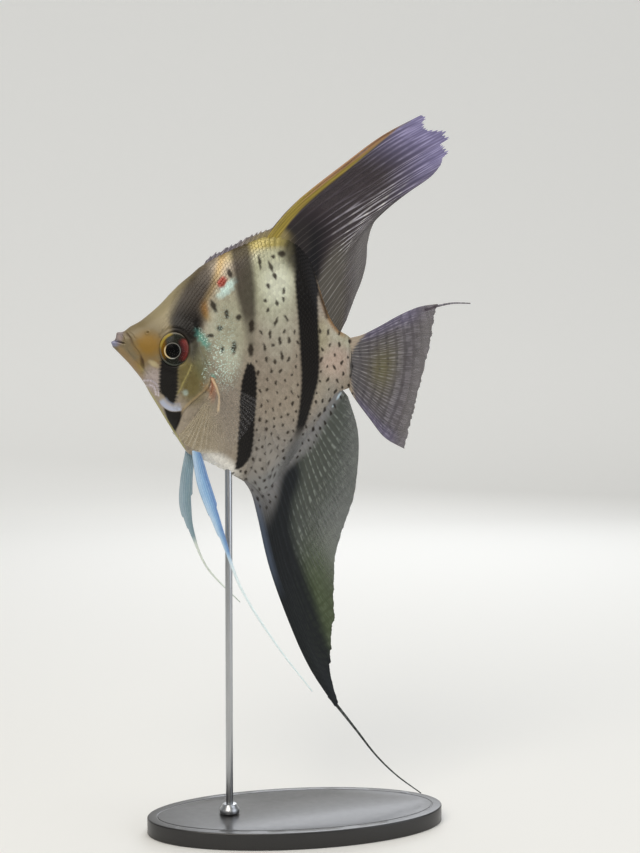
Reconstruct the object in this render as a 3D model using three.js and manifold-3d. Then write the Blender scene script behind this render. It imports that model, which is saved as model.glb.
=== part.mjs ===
// Freshwater angelfish, adult and life size, gliding with its head a little raised, on a plain display stand.
// Millimetres, +Z up. The fish heads along -X, its middle plane is Y = 0 and its left side faces -Y.
// The body is one smooth form, parted by thin cuts into jaws, head, gill covers, trunk and tail stalk.
// Places on the fish are in hundredths of its standard length: s runs back from the snout and h runs up
// from the mouth, so one length drives the whole fish.
import * as THREE from "three";
import { mergeVertices } from "three/addons/utils/BufferGeometryUtils.js";
import Module from "manifold-3d";

const wasm = await Module();
wasm.setup();

// Driving dimensions
const STANDARD_LENGTH = 85; // snout to the root of the tail fin
const MIDDLE_S = 76.75; // s of the origin, half way from the lip to the tip of the tail's filament
const LOWEST_H = -197.5; // h of the anal filament's tip
const TIP_CLEARANCE = 2.5; // from the stand's base up to that tip
const BASE_LENGTH = 108;
const BASE_WIDTH = 52;
const BASE_THICKNESS = 6;
const ROD_RADIUS = 1.3;
const ROD_S = 48; // where the rod meets the belly
const ROD_DEPTH = 4.5; // how far the rod enters the belly and the base
const GAP = 0.3; // between neighbouring pieces
const THIN = 0.5; // thickness of a fin's edge and of a filament's tip

const UNIT = STANDARD_LENGTH / 100;
const MOUTH_Z = BASE_THICKNESS + TIP_CLEARANCE - LOWEST_H * UNIT;
const SIDES = { left: -1, right: 1 };

const lerp = THREE.MathUtils.lerp;
const place = (s, h, y = 0) => new THREE.Vector3((s - MIDDLE_S) * UNIT, y, MOUTH_Z + h * UNIT);

// ---------------------------------------------------------------- solids

function solid(geometry) {
  const bare = geometry.clone();
  bare.deleteAttribute("normal");
  bare.deleteAttribute("uv");
  const merged = mergeVertices(bare, 1e-4);
  return new wasm.Manifold(
    new wasm.Mesh({
      numProp: 3,
      vertProperties: new Float32Array(merged.attributes.position.array),
      triVerts: new Uint32Array(merged.index.array),
    }),
  );
}

function geometryOf(manifold) {
  const mesh = manifold.getMesh();
  return new THREE.BufferGeometry()
    .setAttribute("position", new THREE.BufferAttribute(new Float32Array(mesh.vertProperties), 3))
    .setIndex(new THREE.BufferAttribute(new Uint32Array(mesh.triVerts), 1));
}

const bySize = (manifold) => manifold.decompose().sort((a, b) => b.volume() - a.volume());

// A closed solid from points and triangles, turned to face outwards.
function closedSolid(points, faces) {
  let signed = 0;
  for (let i = 0; i < faces.length; i += 3) {
    const [a, b, c] = [points[faces[i]], points[faces[i + 1]], points[faces[i + 2]]];
    signed += a.dot(new THREE.Vector3().crossVectors(b, c));
  }
  const outward = signed < 0 ? faces.reverse() : faces;
  return solid(new THREE.BufferGeometry().setFromPoints(points).setIndex(outward));
}

// A solid through rings of equal length, with a fan over each end.
function skinOver(rings) {
  const around = rings[0].length;
  const last = (rings.length - 1) * around;
  const faces = [];
  for (let i = 0; i < last; i += around)
    for (let j = 0; j < around; j++) {
      const [a, b] = [i + j, i + ((j + 1) % around)];
      faces.push(a, b, a + around, b, b + around, a + around);
    }
  for (let j = 1; j < around - 1; j++) faces.push(0, j + 1, j, last, last + j, last + j + 1);
  return closedSolid(rings.flat(), faces);
}

// A prism across the fish, over an outline of [s, h] points.
function prism(outline, fromY = -20, toY = 20) {
  const shape = new THREE.Shape(outline.map(([s, h]) => new THREE.Vector2(s * UNIT, h * UNIT)));
  const made = new THREE.ExtrudeGeometry(shape, { depth: toY - fromY, bevelEnabled: false });
  return solid(made.rotateX(Math.PI / 2).translate(-MIDDLE_S * UNIT, toY, MOUTH_Z));
}

// A smooth value through [at, value] knots.
function through(knots) {
  const slope = knots.map((_, i) => {
    const [a, v] = knots[Math.max(i - 1, 0)];
    const [b, w] = knots[Math.min(i + 1, knots.length - 1)];
    return (w - v) / (b - a);
  });
  return (at) => {
    let i = 0;
    while (i < knots.length - 2 && at > knots[i + 1][0]) i++;
    const [a, v] = knots[i];
    const [b, w] = knots[i + 1];
    const t = THREE.MathUtils.clamp((at - a) / (b - a), 0, 1);
    const u = 1 - t;
    const bend = (b - a) * t * u * (slope[i] * u - slope[i + 1] * t);
    return v * u * u * (1 + 2 * t) + w * t * t * (3 - 2 * t) + bend;
  };
}

// A smooth [s, h] line through points, each after its share of the way along.
function line(knots) {
  const alongS = through(knots.map(([at, s]) => [at, s]));
  const alongH = through(knots.map(([at, , h]) => [at, h]));
  return (at) => [alongS(at), alongH(at)];
}

// A thin cut across the fish along a line of [s, h] points.
function knife(points) {
  const curve = new THREE.SplineCurve(points.map(([s, h]) => new THREE.Vector2(s, h)));
  const steps = 3 * points.length;
  const half = GAP / 2 / UNIT;
  const edge = (sign) =>
    Array.from({ length: steps + 1 }, (_, i) => {
      const p = curve.getPoint(i / steps);
      const t = curve.getTangent(i / steps);
      return [p.x - sign * half * t.y, p.y + sign * half * t.x];
    });
  return prism([...edge(-1), ...edge(1).reverse()]);
}

// ---------------------------------------------------------------- body

const LIP_S = -0.4; // the lips stand a little before the snout
const END_S = 101; // end of the tail stalk
const FLANK_POWER = 2.1; // how flat the flank is
const EDGE_POWER = 0.62; // how blunt the back and the belly are

const backLine = through([
  [LIP_S, 0.6], [1.2, 2.9], [3.3, 5], [7.4, 6.8], [11.5, 8.5], [15.7, 12], [28.1, 24.5], [36.4, 30.9],
  [44.8, 35.6], [57.4, 41.3], [64, 43.6], [72.2, 43.6], [78.5, 40], [83.6, 32.9], [88.8, 17], [91.8, 9.4],
  [95.7, 4.4], [END_S, 1.6],
]);
const bellyLine = through([
  [LIP_S, -1.6], [0.8, -3.4], [3.2, -5.9], [7.3, -10.3], [11.4, -15.7], [17.5, -25.7], [29.8, -45.8],
  [33, -48.6], [38.2, -50.6], [50.8, -57.4], [57.1, -61.4], [61.5, -65.4], [65, -64.5], [69.9, -58.3],
  [87.1, -33.7], [93, -24.5], [97, -21.4], [END_S, -20.6],
]);
const fullWidth = through([
  [LIP_S, 1.2], [2, 2.3], [7, 4], [14, 6], [22, 7.7], [32, 8.8], [44, 8.8], [58, 7.5], [72, 5.7], [86, 4],
  [96, 2.9], [END_S, 2],
]);
const widestLine = through([[LIP_S, -0.5], [8, -1.5], [20, -4], [32, -8], [50, -9], [75, -8.5], [END_S, -9.6]]);
const edgeShare = (share) => (1 - share ** FLANK_POWER) ** EDGE_POWER;

// Half the body's width in mm, at a place on its side.
function halfWidth(s, h) {
  const middle = widestLine(s);
  const reach = h > middle ? backLine(s) - middle : middle - bellyLine(s);
  return fullWidth(s) * UNIT * edgeShare(Math.min(Math.abs(h - middle) / reach, 1));
}

// The whole body, made larger or smaller all round by some mm.
function bodyForm(grow = 0) {
  const stations = 34;
  const around = 24;
  const more = grow / UNIT;
  const rings = [];
  for (let i = 0; i <= stations; i++) {
    const s = lerp(LIP_S, END_S, (i / stations) ** 1.3);
    const shift = i === 0 ? -more : i === stations ? more : 0;
    const ring = [];
    for (let j = 0; j < around; j++) {
      const a = (2 * Math.PI * j) / around;
      const share = j % (around / 2) === 0 ? 0 : Math.abs(Math.sin(a));
      const top = j === around / 4 || j === (3 * around) / 4;
      const edge = j < around / 2 ? backLine(s) + more : bellyLine(s) - more;
      const wide = top ? 0 : (fullWidth(s) * UNIT + grow) * edgeShare(share) * -Math.sign(Math.cos(a));
      ring.push(place(s + shift, lerp(widestLine(s), edge, share), wide));
    }
    rings.push(ring);
  }
  return skinOver(rings);
}

const body = bodyForm();
const cleared = bodyForm(GAP); // fins stand clear of this

const mouthCut = knife([[-3, -0.3], [1.5, -0.8], [4.9, -2.2]]);
const jawCut = knife([[5, 10], [6.9, 5], [6.6, 1], [4.8, -2.2], [6, -5.5], [6.8, -12]]);
const napeCut = knife([
  [40, 38], [36.5, 22], [33.8, 6], [36, -6], [39.6, -14], [37.5, -20], [31, -26.4], [27.4, -32], [22, -42],
]);
const stalkCut = knife([[88, 26], [90.5, 6], [90.5, -20], [88, -38]]);

// ---------------------------------------------------------------- eyes and gill covers

const EYE = { s: 24.9, h: -3.6, radius: 6, depth: 3.8, stands: 1.9 }; // mm, but for s and h
const GILL_DEPTH = 1.4;
const gillOutline = [
  [31.5, 3.4], [32.2, -3], [31.8, -9.5], [29.6, -16], [26.6, -22], [24.6, -28], [25, -33], [29, -35],
  [36, -27], [42, -20], [43, -14], [39, -4], [35.6, 4.6],
];

// The eyeball, flattened to fit the thin head, with some mm more all round.
function eyeball(side, more = 0) {
  const ball = new THREE.SphereGeometry(1, 18, 10).rotateX(Math.PI / 2);
  const round = EYE.radius + more;
  const centre = place(EYE.s, EYE.h, side * (halfWidth(EYE.s, EYE.h) + EYE.stands - EYE.depth));
  return solid(ball.scale(round, EYE.depth + more, round).translate(centre.x, centre.y, centre.z));
}

const acrossSide = (outline, side) => (side < 0 ? prism(outline, -20, 0) : prism(outline, 0, 20));

// An outline moved out all round by some mm.
function widened(outline, by) {
  return outline.map(([s, h], i) => {
    const [s0, h0] = outline.at(i - 1);
    const [s1, h1] = outline[(i + 1) % outline.length];
    const run = (Math.hypot(s1 - s0, h1 - h0) * UNIT) / by;
    return [s + (h1 - h0) / run, h - (s1 - s0) / run];
  });
}

// ---------------------------------------------------------------- fins

// A fin between its root, leading edge, rear edge and free margin, thick at the root and thin at the edge.
// lean moves it sideways in mm, v being the share of the way out from the root.
function fin({ root, lead, rear, margin, rays = 14, steps = 10, thick = 1.8, lean = () => 0 }) {
  const [rootOf, leadOf, rearOf, marginOf] = [root, lead, rear, margin].map(line);
  const at = (u, v, axis) => {
    const sides = (1 - v) * rootOf(u)[axis] + v * marginOf(u)[axis];
    const ends = (1 - u) * leadOf(v)[axis] + u * rearOf(v)[axis];
    const near = lerp(rootOf(0)[axis], rootOf(1)[axis], u);
    return sides + ends - lerp(near, lerp(marginOf(0)[axis], marginOf(1)[axis], u), v);
  };
  const points = [];
  for (const face of [-1, 1])
    for (let i = 0; i <= rays; i++)
      for (let j = 0; j <= steps; j++) {
        const [u, v] = [i / rays, j / steps];
        const half = lerp(thick, THIN, v ** 0.6) / 2;
        points.push(place(at(u, v, 0), at(u, v, 1), lean(v, u) + face * half));
      }
  const row = steps + 1;
  const back = (rays + 1) * row;
  const faces = [];
  for (let i = 0; i < rays; i++)
    for (let j = 0; j < steps; j++) {
      const a = i * row + j;
      faces.push(a, a + row, a + 1, a + 1, a + row, a + row + 1);
      faces.push(back + a, back + a + 1, back + a + row, back + a + 1, back + a + row + 1, back + a + row);
    }
  const wall = (a, b) => faces.push(a, b, a + back, b, b + back, a + back);
  for (let j = 0; j < steps; j++) {
    wall(j, j + 1);
    wall(rays * row + j + 1, rays * row + j);
  }
  for (let i = 0; i < rays; i++) {
    wall((i + 1) * row, i * row);
    wall(i * row + steps, (i + 1) * row + steps);
  }
  return closedSolid(points, faces);
}

// A tapering strand through [share, s, h, y] knots, with its width and thickness in mm at each share.
function strand(knots, width, thickness, steps = 16, around = 6) {
  const along = line(knots);
  const aside = through(knots.map(([at, , , y]) => [at, y]));
  const rings = [];
  for (let i = 0; i <= steps; i++) {
    const at = i / steps;
    const [s, h] = along(at);
    const [s0, h0] = along(Math.max(at - 0.01, 0));
    const [s1, h1] = along(Math.min(at + 0.01, 1));
    const run = Math.hypot(s1 - s0, h1 - h0);
    const ring = [];
    for (let j = 0; j < around; j++) {
      const a = (2 * Math.PI * (j + 0.5)) / around;
      const out = (Math.cos(a) * width(at)) / 2 / UNIT;
      const y = aside(at) + (Math.sin(a) * thickness(at)) / 2;
      ring.push(place(s + (out * (h0 - h1)) / run, h + (out * (s1 - s0)) / run, y));
    }
    rings.push(ring);
  }
  return skinOver(rings);
}

const clearOfBody = (made) => bySize(made.subtract(cleared))[0];

const LEAN = { dorsal: -2.5, anal: 2.5, tail: 3 }; // sideways at the fin's tip, in mm

function dorsalSpines() {
  const count = 12;
  const outline = [];
  for (let i = 0; i < count; i++) {
    const s = lerp(38.6, 65, i / (count - 1));
    const tall = 1.7 + 3.4 * (i / (count - 1)) ** 2;
    outline.push([s, backLine(s) + 0.55 * tall], [s + 1.5, backLine(s + 1.5) + tall]);
  }
  const under = [66.5, 58, 50, 44, 38.6].map((s) => [s, backLine(s) - 2]);
  return clearOfBody(prism([...outline, ...under], -0.45, 0.45));
}

const dorsalFin = () =>
  clearOfBody(
    fin({
      root: [[0, 67.4, 40], [0.14, 74, 40], [0.26, 79.5, 36], [0.5, 86, 22.5], [0.75, 91, 8], [1, 95, 2]],
      lead: [[0, 67.4, 40], [0.08, 69.2, 47.6], [0.16, 73, 53.4], [0.26, 78.8, 58.2], [0.5, 95.6, 71.3], [0.75, 112.8, 85.6], [1, 130.2, 95.2]],
      rear: [[0, 95, 2], [1, 97.8, 8.4]],
      margin: [
        [0, 130.2, 95.2], [0.07, 138, 90.6], [0.14, 145.5, 87.8], [0.2, 143, 81], [0.28, 135, 71.3],
        [0.4, 121.6, 61], [0.52, 110.7, 52.2], [0.62, 106.5, 42], [0.74, 105.4, 31.5], [0.88, 101.5, 18.5],
        [1, 97.8, 8.4],
      ],
      rays: 16,
      steps: 10,
      lean: (v) => LEAN.dorsal * v * v,
    }),
  );

function analFin() {
  const blade = fin({
    root: [
      [0, 51.6, -55.5], [0.1, 57, -59.4], [0.2, 61.6, -63.4], [0.35, 68.5, -57.2], [0.55, 77.5, -44],
      [0.8, 86.5, -31.5], [1, 95.5, -19.8],
    ],
    lead: [
      [0, 51.6, -55.5], [0.08, 57, -63], [0.17, 59.6, -71.5], [0.4, 65.3, -96], [0.62, 73.7, -119.7],
      [0.82, 82.8, -140], [1, 94.6, -158.4],
    ],
    rear: [[0, 95.5, -19.8], [1, 99.5, -23.8]],
    margin: [
      [0, 94.6, -158.4], [0.06, 95.6, -156], [0.14, 93, -146.5], [0.22, 92.6, -135], [0.3, 94.2, -120],
      [0.4, 93.7, -102], [0.5, 94.4, -91], [0.6, 98, -79], [0.7, 102, -68], [0.8, 104.2, -54], [0.9, 104, -38.5],
      [1, 99.5, -23.8],
    ],
    rays: 16,
    steps: 12,
    thick: 2,
    lean: (v) => LEAN.anal * v * v,
  });
  const filament = strand(
    [
      [0, 91.4, -152.6, 2.3], [0.14, 96.6, -159.2, 2.5], [0.35, 103.8, -168.6, 3], [0.6, 112.5, -180, 3.4],
      [0.8, 121.4, -189, 3.2], [1, 132.2, LOWEST_H + 0.2, 2.4],
    ],
    (at) => lerp(1.6, THIN, at ** 0.6),
    (at) => lerp(0.8, THIN, at),
  );
  return clearOfBody(blade.add(filament));
}

function tailFin() {
  const blade = fin({
    root: [[0, 99.6, 1], [0.5, 99.6, -9.8], [1, 99.6, -20.6]],
    lead: [[0, 99.6, 1], [0.15, 105.2, 2.4], [0.38, 113, 6.1], [0.6, 121.7, 10.8], [0.8, 130.5, 14.2], [1, 137.9, 15.6]],
    rear: [[0, 99.6, -20.6], [0.12, 101.8, -24.4], [0.35, 108.2, -32.9], [0.65, 115.3, -41.4], [1, 124.9, -46.8]],
    margin: [[0, 137.9, 15.6], [0.2, 134.4, 3.5], [0.5, 130.9, -13.6], [0.8, 126.9, -31.5], [1, 124.9, -46.8]],
    rays: 12,
    steps: 8,
    lean: (v) => LEAN.tail * v * v,
  });
  const filament = strand(
    [[0, 133, 13, 2.6], [0.3, 139.3, 14.9, 3], [0.6, 146, 16.1, 3.4], [1, 153.9, 16.1, 3.8]],
    (at) => lerp(1.2, THIN, at),
    () => THIN,
    8,
  );
  return clearOfBody(blade.add(filament));
}

// The left fin hangs back and the right one more steeply, each drawn out in a long filament.
const PELVIC_KNOTS = {
  left: [
    [0, 34.2, -46.6, -2.4], [0.09, 37, -59, -3.2], [0.18, 40.6, -70, -4], [0.28, 44.6, -81.8, -4.8],
    [0.45, 52, -102.8, -6], [0.7, 66, -126, -7.6], [1, 81.8, -147.2, -9],
  ],
  right: [
    [0, 32.4, -45.4, 2.4], [0.16, 30.7, -58.5, 3.4], [0.3, 30.6, -69.5, 4], [0.46, 33, -81, 4.8],
    [0.7, 39.6, -96.5, 6], [1, 53.7, -111.9, 7.4],
  ],
};
const pelvicWidth = {
  left: through([[0, 3.6], [0.1, 4.6], [0.18, 4.2], [0.28, 3], [0.38, 1.2], [0.6, 0.8], [1, THIN]]),
  right: through([[0, 3.4], [0.16, 4.4], [0.3, 4.8], [0.42, 3], [0.56, 1.2], [0.75, 0.8], [1, THIN]]),
};
const pelvicFin = (name) =>
  clearOfBody(strand(PELVIC_KNOTS[name], pelvicWidth[name], (at) => lerp(1, THIN, Math.min(at * 2, 1)), 18));

function pectoralFin(side) {
  const spread = 5; // how far the margin stands out from the flank, beyond the root
  const rootY = halfWidth(39.5, -18) + GAP + 0.5;
  return fin({
    root: [[0, 39.6, -14.8], [1, 40.4, -21]],
    lead: [[0, 39.6, -14.8], [0.5, 49.5, -19.6], [1, 58.5, -24.2]],
    rear: [[0, 40.4, -21], [0.5, 33, -31], [1, 25.4, -39.4]],
    margin: [[0, 58.5, -24.2], [0.2, 56.3, -33], [0.45, 48.6, -43.6], [0.7, 38.5, -46.4], [0.87, 30, -43.6], [1, 25.4, -39.4]],
    rays: 10,
    steps: 5,
    thick: 1,
    lean: (v) => side * (rootY + spread * v),
  });
}

// ---------------------------------------------------------------- stand

const rodX = place(ROD_S, 0).x;
const rodTop = place(0, bellyLine(ROD_S)).z + ROD_DEPTH;
const rodFoot = BASE_THICKNESS - ROD_DEPTH;

function upright(radius, fromZ, toZ) {
  const made = new THREE.CylinderGeometry(radius, radius, toZ - fromZ, 16).rotateX(Math.PI / 2);
  return solid(made.translate(rodX, 0, (fromZ + toZ) / 2));
}

function standBase() {
  const bevel = 1.2;
  const oval = new THREE.Shape().absellipse(0, 0, BASE_LENGTH / 2 - bevel, BASE_WIDTH / 2 - bevel, 0, 2 * Math.PI);
  const plate = new THREE.ExtrudeGeometry(oval, {
    depth: BASE_THICKNESS - 2 * bevel,
    bevelThickness: bevel,
    bevelSize: bevel,
    bevelSegments: 1,
    curveSegments: 22,
  });
  return solid(plate.translate(0, 0, bevel)).subtract(upright(ROD_RADIUS + GAP, rodFoot - GAP, 20));
}

function standCollar() {
  const inner = ROD_RADIUS + GAP;
  const profile = [[inner, 0], [3.6, 0], [3.6, 1], [2.4, 3.2], [inner, 3.2], [inner, 0]];
  const ring = new THREE.LatheGeometry(profile.map(([r, z]) => new THREE.Vector2(r, z)), 16);
  return solid(ring.rotateX(Math.PI / 2).translate(rodX, 0, BASE_THICKNESS + GAP));
}

// ---------------------------------------------------------------- assembly

const [trunkPart, headPart, ...small] = bySize(body.subtract(mouthCut).subtract(jawCut).subtract(napeCut).subtract(stalkCut));
const middleOf = (part) => {
  const { min, max } = part.boundingBox();
  return new THREE.Vector3((min[0] + max[0]) / 2, (min[1] + max[1]) / 2, (min[2] + max[2]) / 2);
};
const stalkPart = small.find((part) => middleOf(part).x > 0);
const jaws = small.filter((part) => part !== stalkPart).sort((a, b) => middleOf(b).z - middleOf(a).z);

const group = new THREE.Group();

function add(name, made, color, roughness = 0.45, metalness = 0) {
  const mesh = new THREE.Mesh(geometryOf(made), new THREE.MeshStandardMaterial({ color, roughness, metalness }));
  mesh.name = name;
  group.add(mesh);
}

const plateShell = body.subtract(bodyForm(-GILL_DEPTH));
const recessShell = bodyForm(0.01).subtract(bodyForm(-GILL_DEPTH - GAP));
let head = headPart;
for (const [name, side] of Object.entries(SIDES)) {
  add(`gill_cover_${name}`, bySize(headPart.intersect(acrossSide(gillOutline, side)).intersect(plateShell))[0], 0xb3a690);
  head = head.subtract(acrossSide(widened(gillOutline, GAP), side).intersect(recessShell));
}
for (const [name, side] of Object.entries(SIDES)) {
  head = head.subtract(eyeball(side, GAP));
  add(`eye_${name}`, eyeball(side), 0x1d1713, 0.1);
  add(`pectoral_fin_${name}`, pectoralFin(side), 0x9c8a74);
  add(`pelvic_fin_${name}`, pelvicFin(name), 0xb4d2ee);
}
add("head", bySize(head)[0], 0xa89a80);
add("upper_jaw", jaws[0], 0xb0a2a4);
add("lower_jaw", jaws[1], 0xb0a2a4);
add("trunk", trunkPart.subtract(upright(ROD_RADIUS + GAP, 20, rodTop + GAP)), 0xc0b8a8);
add("tail_stalk", stalkPart, 0xb8ac9c);
add("dorsal_fin_spines", dorsalSpines(), 0xa48a40);
add("dorsal_fin", dorsalFin(), 0x6c6474);
add("anal_fin", analFin(), 0x3c3e48);
add("tail_fin", tailFin(), 0x85808a);
add("stand_base", standBase(), 0x3a2a20, 0.5);
add("stand_rod", upright(ROD_RADIUS, rodFoot, rodTop), 0xb8b8b8, 0.3, 1);
add("stand_collar", standCollar(), 0xb8b8b8, 0.3, 1);

export default group;
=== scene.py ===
import math
import bpy
import numpy as np
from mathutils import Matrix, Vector
from mathutils.bvhtree import BVHTree


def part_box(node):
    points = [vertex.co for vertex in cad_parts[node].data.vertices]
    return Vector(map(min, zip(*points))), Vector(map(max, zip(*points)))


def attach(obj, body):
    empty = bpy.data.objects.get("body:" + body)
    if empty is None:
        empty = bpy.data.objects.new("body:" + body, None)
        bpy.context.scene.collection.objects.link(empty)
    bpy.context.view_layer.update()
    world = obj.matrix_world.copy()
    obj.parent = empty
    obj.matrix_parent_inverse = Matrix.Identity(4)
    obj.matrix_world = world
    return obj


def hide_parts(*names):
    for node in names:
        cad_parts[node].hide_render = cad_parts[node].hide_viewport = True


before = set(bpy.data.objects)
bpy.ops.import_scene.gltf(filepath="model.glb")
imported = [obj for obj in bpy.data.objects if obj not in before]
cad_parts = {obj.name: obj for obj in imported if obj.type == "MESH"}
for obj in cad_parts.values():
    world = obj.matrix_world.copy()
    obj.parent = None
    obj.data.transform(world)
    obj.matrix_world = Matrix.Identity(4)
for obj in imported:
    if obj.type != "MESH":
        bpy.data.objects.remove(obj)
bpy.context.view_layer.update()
bpy.ops.object.select_all(action="DESELECT")

# measures, taken from the frame: s runs back from the snout and h up from the mouth,
# both in hundredths of the fish's standard length; left is -Y and right is +Y
mm = 0.001
sides = {"left": -1, "right": 1}
lipS, tailTipS, lowestH = -0.4, 153.9, -197.5
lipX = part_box("lower_jaw")[0][0]
unit = (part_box("tail_fin")[1][0] - lipX) / (tailTipS - lipS)  # one hundredth, in metres
mouthX = lipX - lipS * unit
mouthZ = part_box("anal_fin")[0][2] - lowestH * unit
rng = np.random.default_rng(7)


def place(s, h, y=0.0):
    s, h, y = np.broadcast_arrays(s, h, y)
    return np.stack([mouthX + s * unit, y, mouthZ + h * unit], -1)


def smooth(low, high, x):
    t = np.clip((x - low) / (high - low), 0, 1)
    return t * t * (3 - 2 * t)


def lerp(a, b, t):
    return a + (b - a) * t


def peak(off, wide):
    return np.exp(-((off / wide) ** 2))


def ends(along, first, last):  # 0 at both ends of a line, 1 from first to last
    return smooth(0, first, along) * smooth(1, last, along)


def through(knots):  # a smooth value through (at, value) knots
    at = np.array([k[0] for k in knots], float)
    value = np.array([k[1] for k in knots], float)
    low = np.maximum(np.arange(len(at)) - 1, 0)
    high = np.minimum(np.arange(len(at)) + 1, len(at) - 1)
    slope = (value[high] - value[low]) / (at[high] - at[low])

    def curve(x):
        x = np.asarray(x, float)
        i = np.clip(np.searchsorted(at, x, side="left") - 1, 0, len(at) - 2)
        wide = at[i + 1] - at[i]
        t = np.clip((x - at[i]) / wide, 0, 1)
        u = 1 - t
        bend = wide * t * u * (slope[i] * u - slope[i + 1] * t)
        return value[i] * u * u * (1 + 2 * t) + value[i + 1] * t * t * (3 - 2 * t) + bend

    return curve


def line(knots):  # a smooth (s, h) line through (share, s, h) knots
    alongS = through([(k[0], k[1]) for k in knots])
    alongH = through([(k[0], k[2]) for k in knots])
    return lambda t: np.stack([alongS(t), alongH(t)])


def buildMesh(name, points, faceSets):  # face sets are arrays of quads or of triangles
    faceSets = [np.asarray(f, np.int32) for f in faceSets if len(f)]
    corners = np.concatenate([f.ravel() for f in faceSets])
    totals = np.concatenate([np.full(len(f), f.shape[1], np.int32) for f in faceSets])
    mesh = bpy.data.meshes.new(name)
    mesh.vertices.add(len(points))
    mesh.vertices.foreach_set("co", np.asarray(points, np.float32).ravel())
    mesh.loops.add(len(corners))
    mesh.loops.foreach_set("vertex_index", corners)
    mesh.polygons.add(len(totals))
    mesh.polygons.foreach_set("loop_start", np.concatenate([[0], np.cumsum(totals)[:-1]]).astype(np.int32))
    mesh.polygons.foreach_set("loop_total", totals)
    mesh.polygons.foreach_set("use_smooth", np.full(len(totals), True))
    mesh.update(calc_edges=True)
    mesh.validate()
    piece = bpy.data.objects.new(name, mesh)
    bpy.context.collection.objects.link(piece)
    return piece


def giveValues(piece, values):  # one float for each point, read by the materials
    for name, data in values.items():
        layer = piece.data.attributes.new(name, "FLOAT", "POINT")
        layer.data.foreach_set("value", np.asarray(data, np.float32).ravel())


def giveUnwrap(piece, uv):  # uv for each point, as the map that the colours are kept on
    layer = piece.data.uv_layers.new(name="OFBake")
    corners = np.empty(len(piece.data.loops), np.int32)
    piece.data.loops.foreach_get("vertex_index", corners)
    layer.data.foreach_set("uv", np.asarray(uv, np.float32)[corners].ravel())


def hexColour(text):  # sRGB hex to linear
    parts = [int(text[i : i + 2], 16) / 255 for i in (1, 3, 5)]
    return [p / 12.92 if p <= 0.04045 else ((p + 0.055) / 1.055) ** 2.4 for p in parts] + [1.0]


def newMaterial(name):
    material = bpy.data.materials.new(name)
    material.use_nodes = True
    tree = material.node_tree
    return material, tree, tree.nodes["Principled BSDF"]


def fillInputs(tree, node, inputs):  # an input is a socket to link or a plain value
    for name, value in inputs.items():
        if isinstance(value, bpy.types.NodeSocket):
            tree.links.new(value, node.inputs[name])
        else:
            node.inputs[name].default_value = value


def addNode(tree, kind, settings, inputs, output=0):
    node = tree.nodes.new("ShaderNode" + kind)
    for name, value in settings.items():
        setattr(node, name, value)
    fillInputs(tree, node, inputs)
    return node.outputs[output]


eased, product, tints = {"interpolation_type": "SMOOTHSTEP"}, {"operation": "MULTIPLY"}, {"data_type": "RGBA"}


# each is a value (a socket or a name of the points'), a tint and its strength
def paintMarks(tree, colour, layers):
    for value, tint, most in layers:
        if isinstance(value, str):
            value = addNode(tree, "Attribute", {"attribute_name": value}, {}, "Fac")
        share = addNode(tree, "Math", product, {0: value, 1: most})
        colour = addNode(tree, "Mix", tints, {0: share, 6: colour, 7: hexColour(tint)}, 2)
    return colour


# a cloudy grain whose patches have a real size in metres
def grainOf(tree, size, detail=3.0, stretch=(1, 1, 1)):
    where = addNode(tree, "TexCoord", {}, {}, "Object")
    spread = addNode(tree, "Mapping", {}, {"Vector": where, "Scale": stretch})
    return addNode(
        tree, "TexNoise", {},
        {"Vector": spread, "Scale": 1 / size, "Detail": detail, "Roughness": 0.55}, "Fac"
    )


def paintGrain(tree, grain, low, high):  # two tints, as the grain goes
    return addNode(tree, "Mix", tints, {0: grain, 6: hexColour(low), 7: hexColour(high)}, 2)


def finish(piece, material, slot, *nodes):
    piece.data.materials.append(material)
    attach(piece, "root")
    if nodes:
        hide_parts(*nodes)
    print(piece.name, sum(len(f.vertices) - 2 for f in piece.data.polygons))


view = {
    "turn": -10.0,  # degrees from square on to the left side, towards the head
    "rise": 3.0,
    "distance": 0.52,
    "aim": (0.0087, 0.0, 0.1454),
    "seen": 0.3071,  # height that the frame takes in at the fish
}


def setCamera():
    turn, rise = math.radians(view["turn"]), math.radians(view["rise"])
    away = (math.sin(turn) * math.cos(rise), -math.cos(turn) * math.cos(rise), math.sin(rise))
    spot = [a + view["distance"] * d for a, d in zip(view["aim"], away)]
    bpy.ops.object.camera_add(location=spot, rotation=(math.pi / 2 - rise, 0, turn))
    camera = bpy.context.object
    camera.name = "camera"
    camera.data.sensor_width = 36
    camera.data.lens = 36 * view["distance"] / view["seen"]
    camera.data.clip_start = 0.01
    bpy.context.scene.camera = camera


lights = [  # name, place, size, watts, colour
    ("keyLight", (-0.45, -0.75, 0.95), 0.7, 8.2, "#fff8ec"),
    ("topLight", (0.05, 0.1, 1.05), 0.6, 3.6, "#ffffff"),
    ("fillLight", (0.8, -0.6, 0.4), 0.8, 3.0, "#eef4ff"),
    ("backLight", (0.3, 0.8, 0.6), 0.6, 3.4, "#f4f8ff"),
]
stage = {
    "floor": "#d6d5d1", "glow": "#e9e9e6", "sky": "#eceeef", "skyStrength": 0.34,
    "near": -1.6, "back": 2.4, "tall": 2.6, "half": 3.2, "bend": 1.5, "bendSteps": 12,
}


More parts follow.
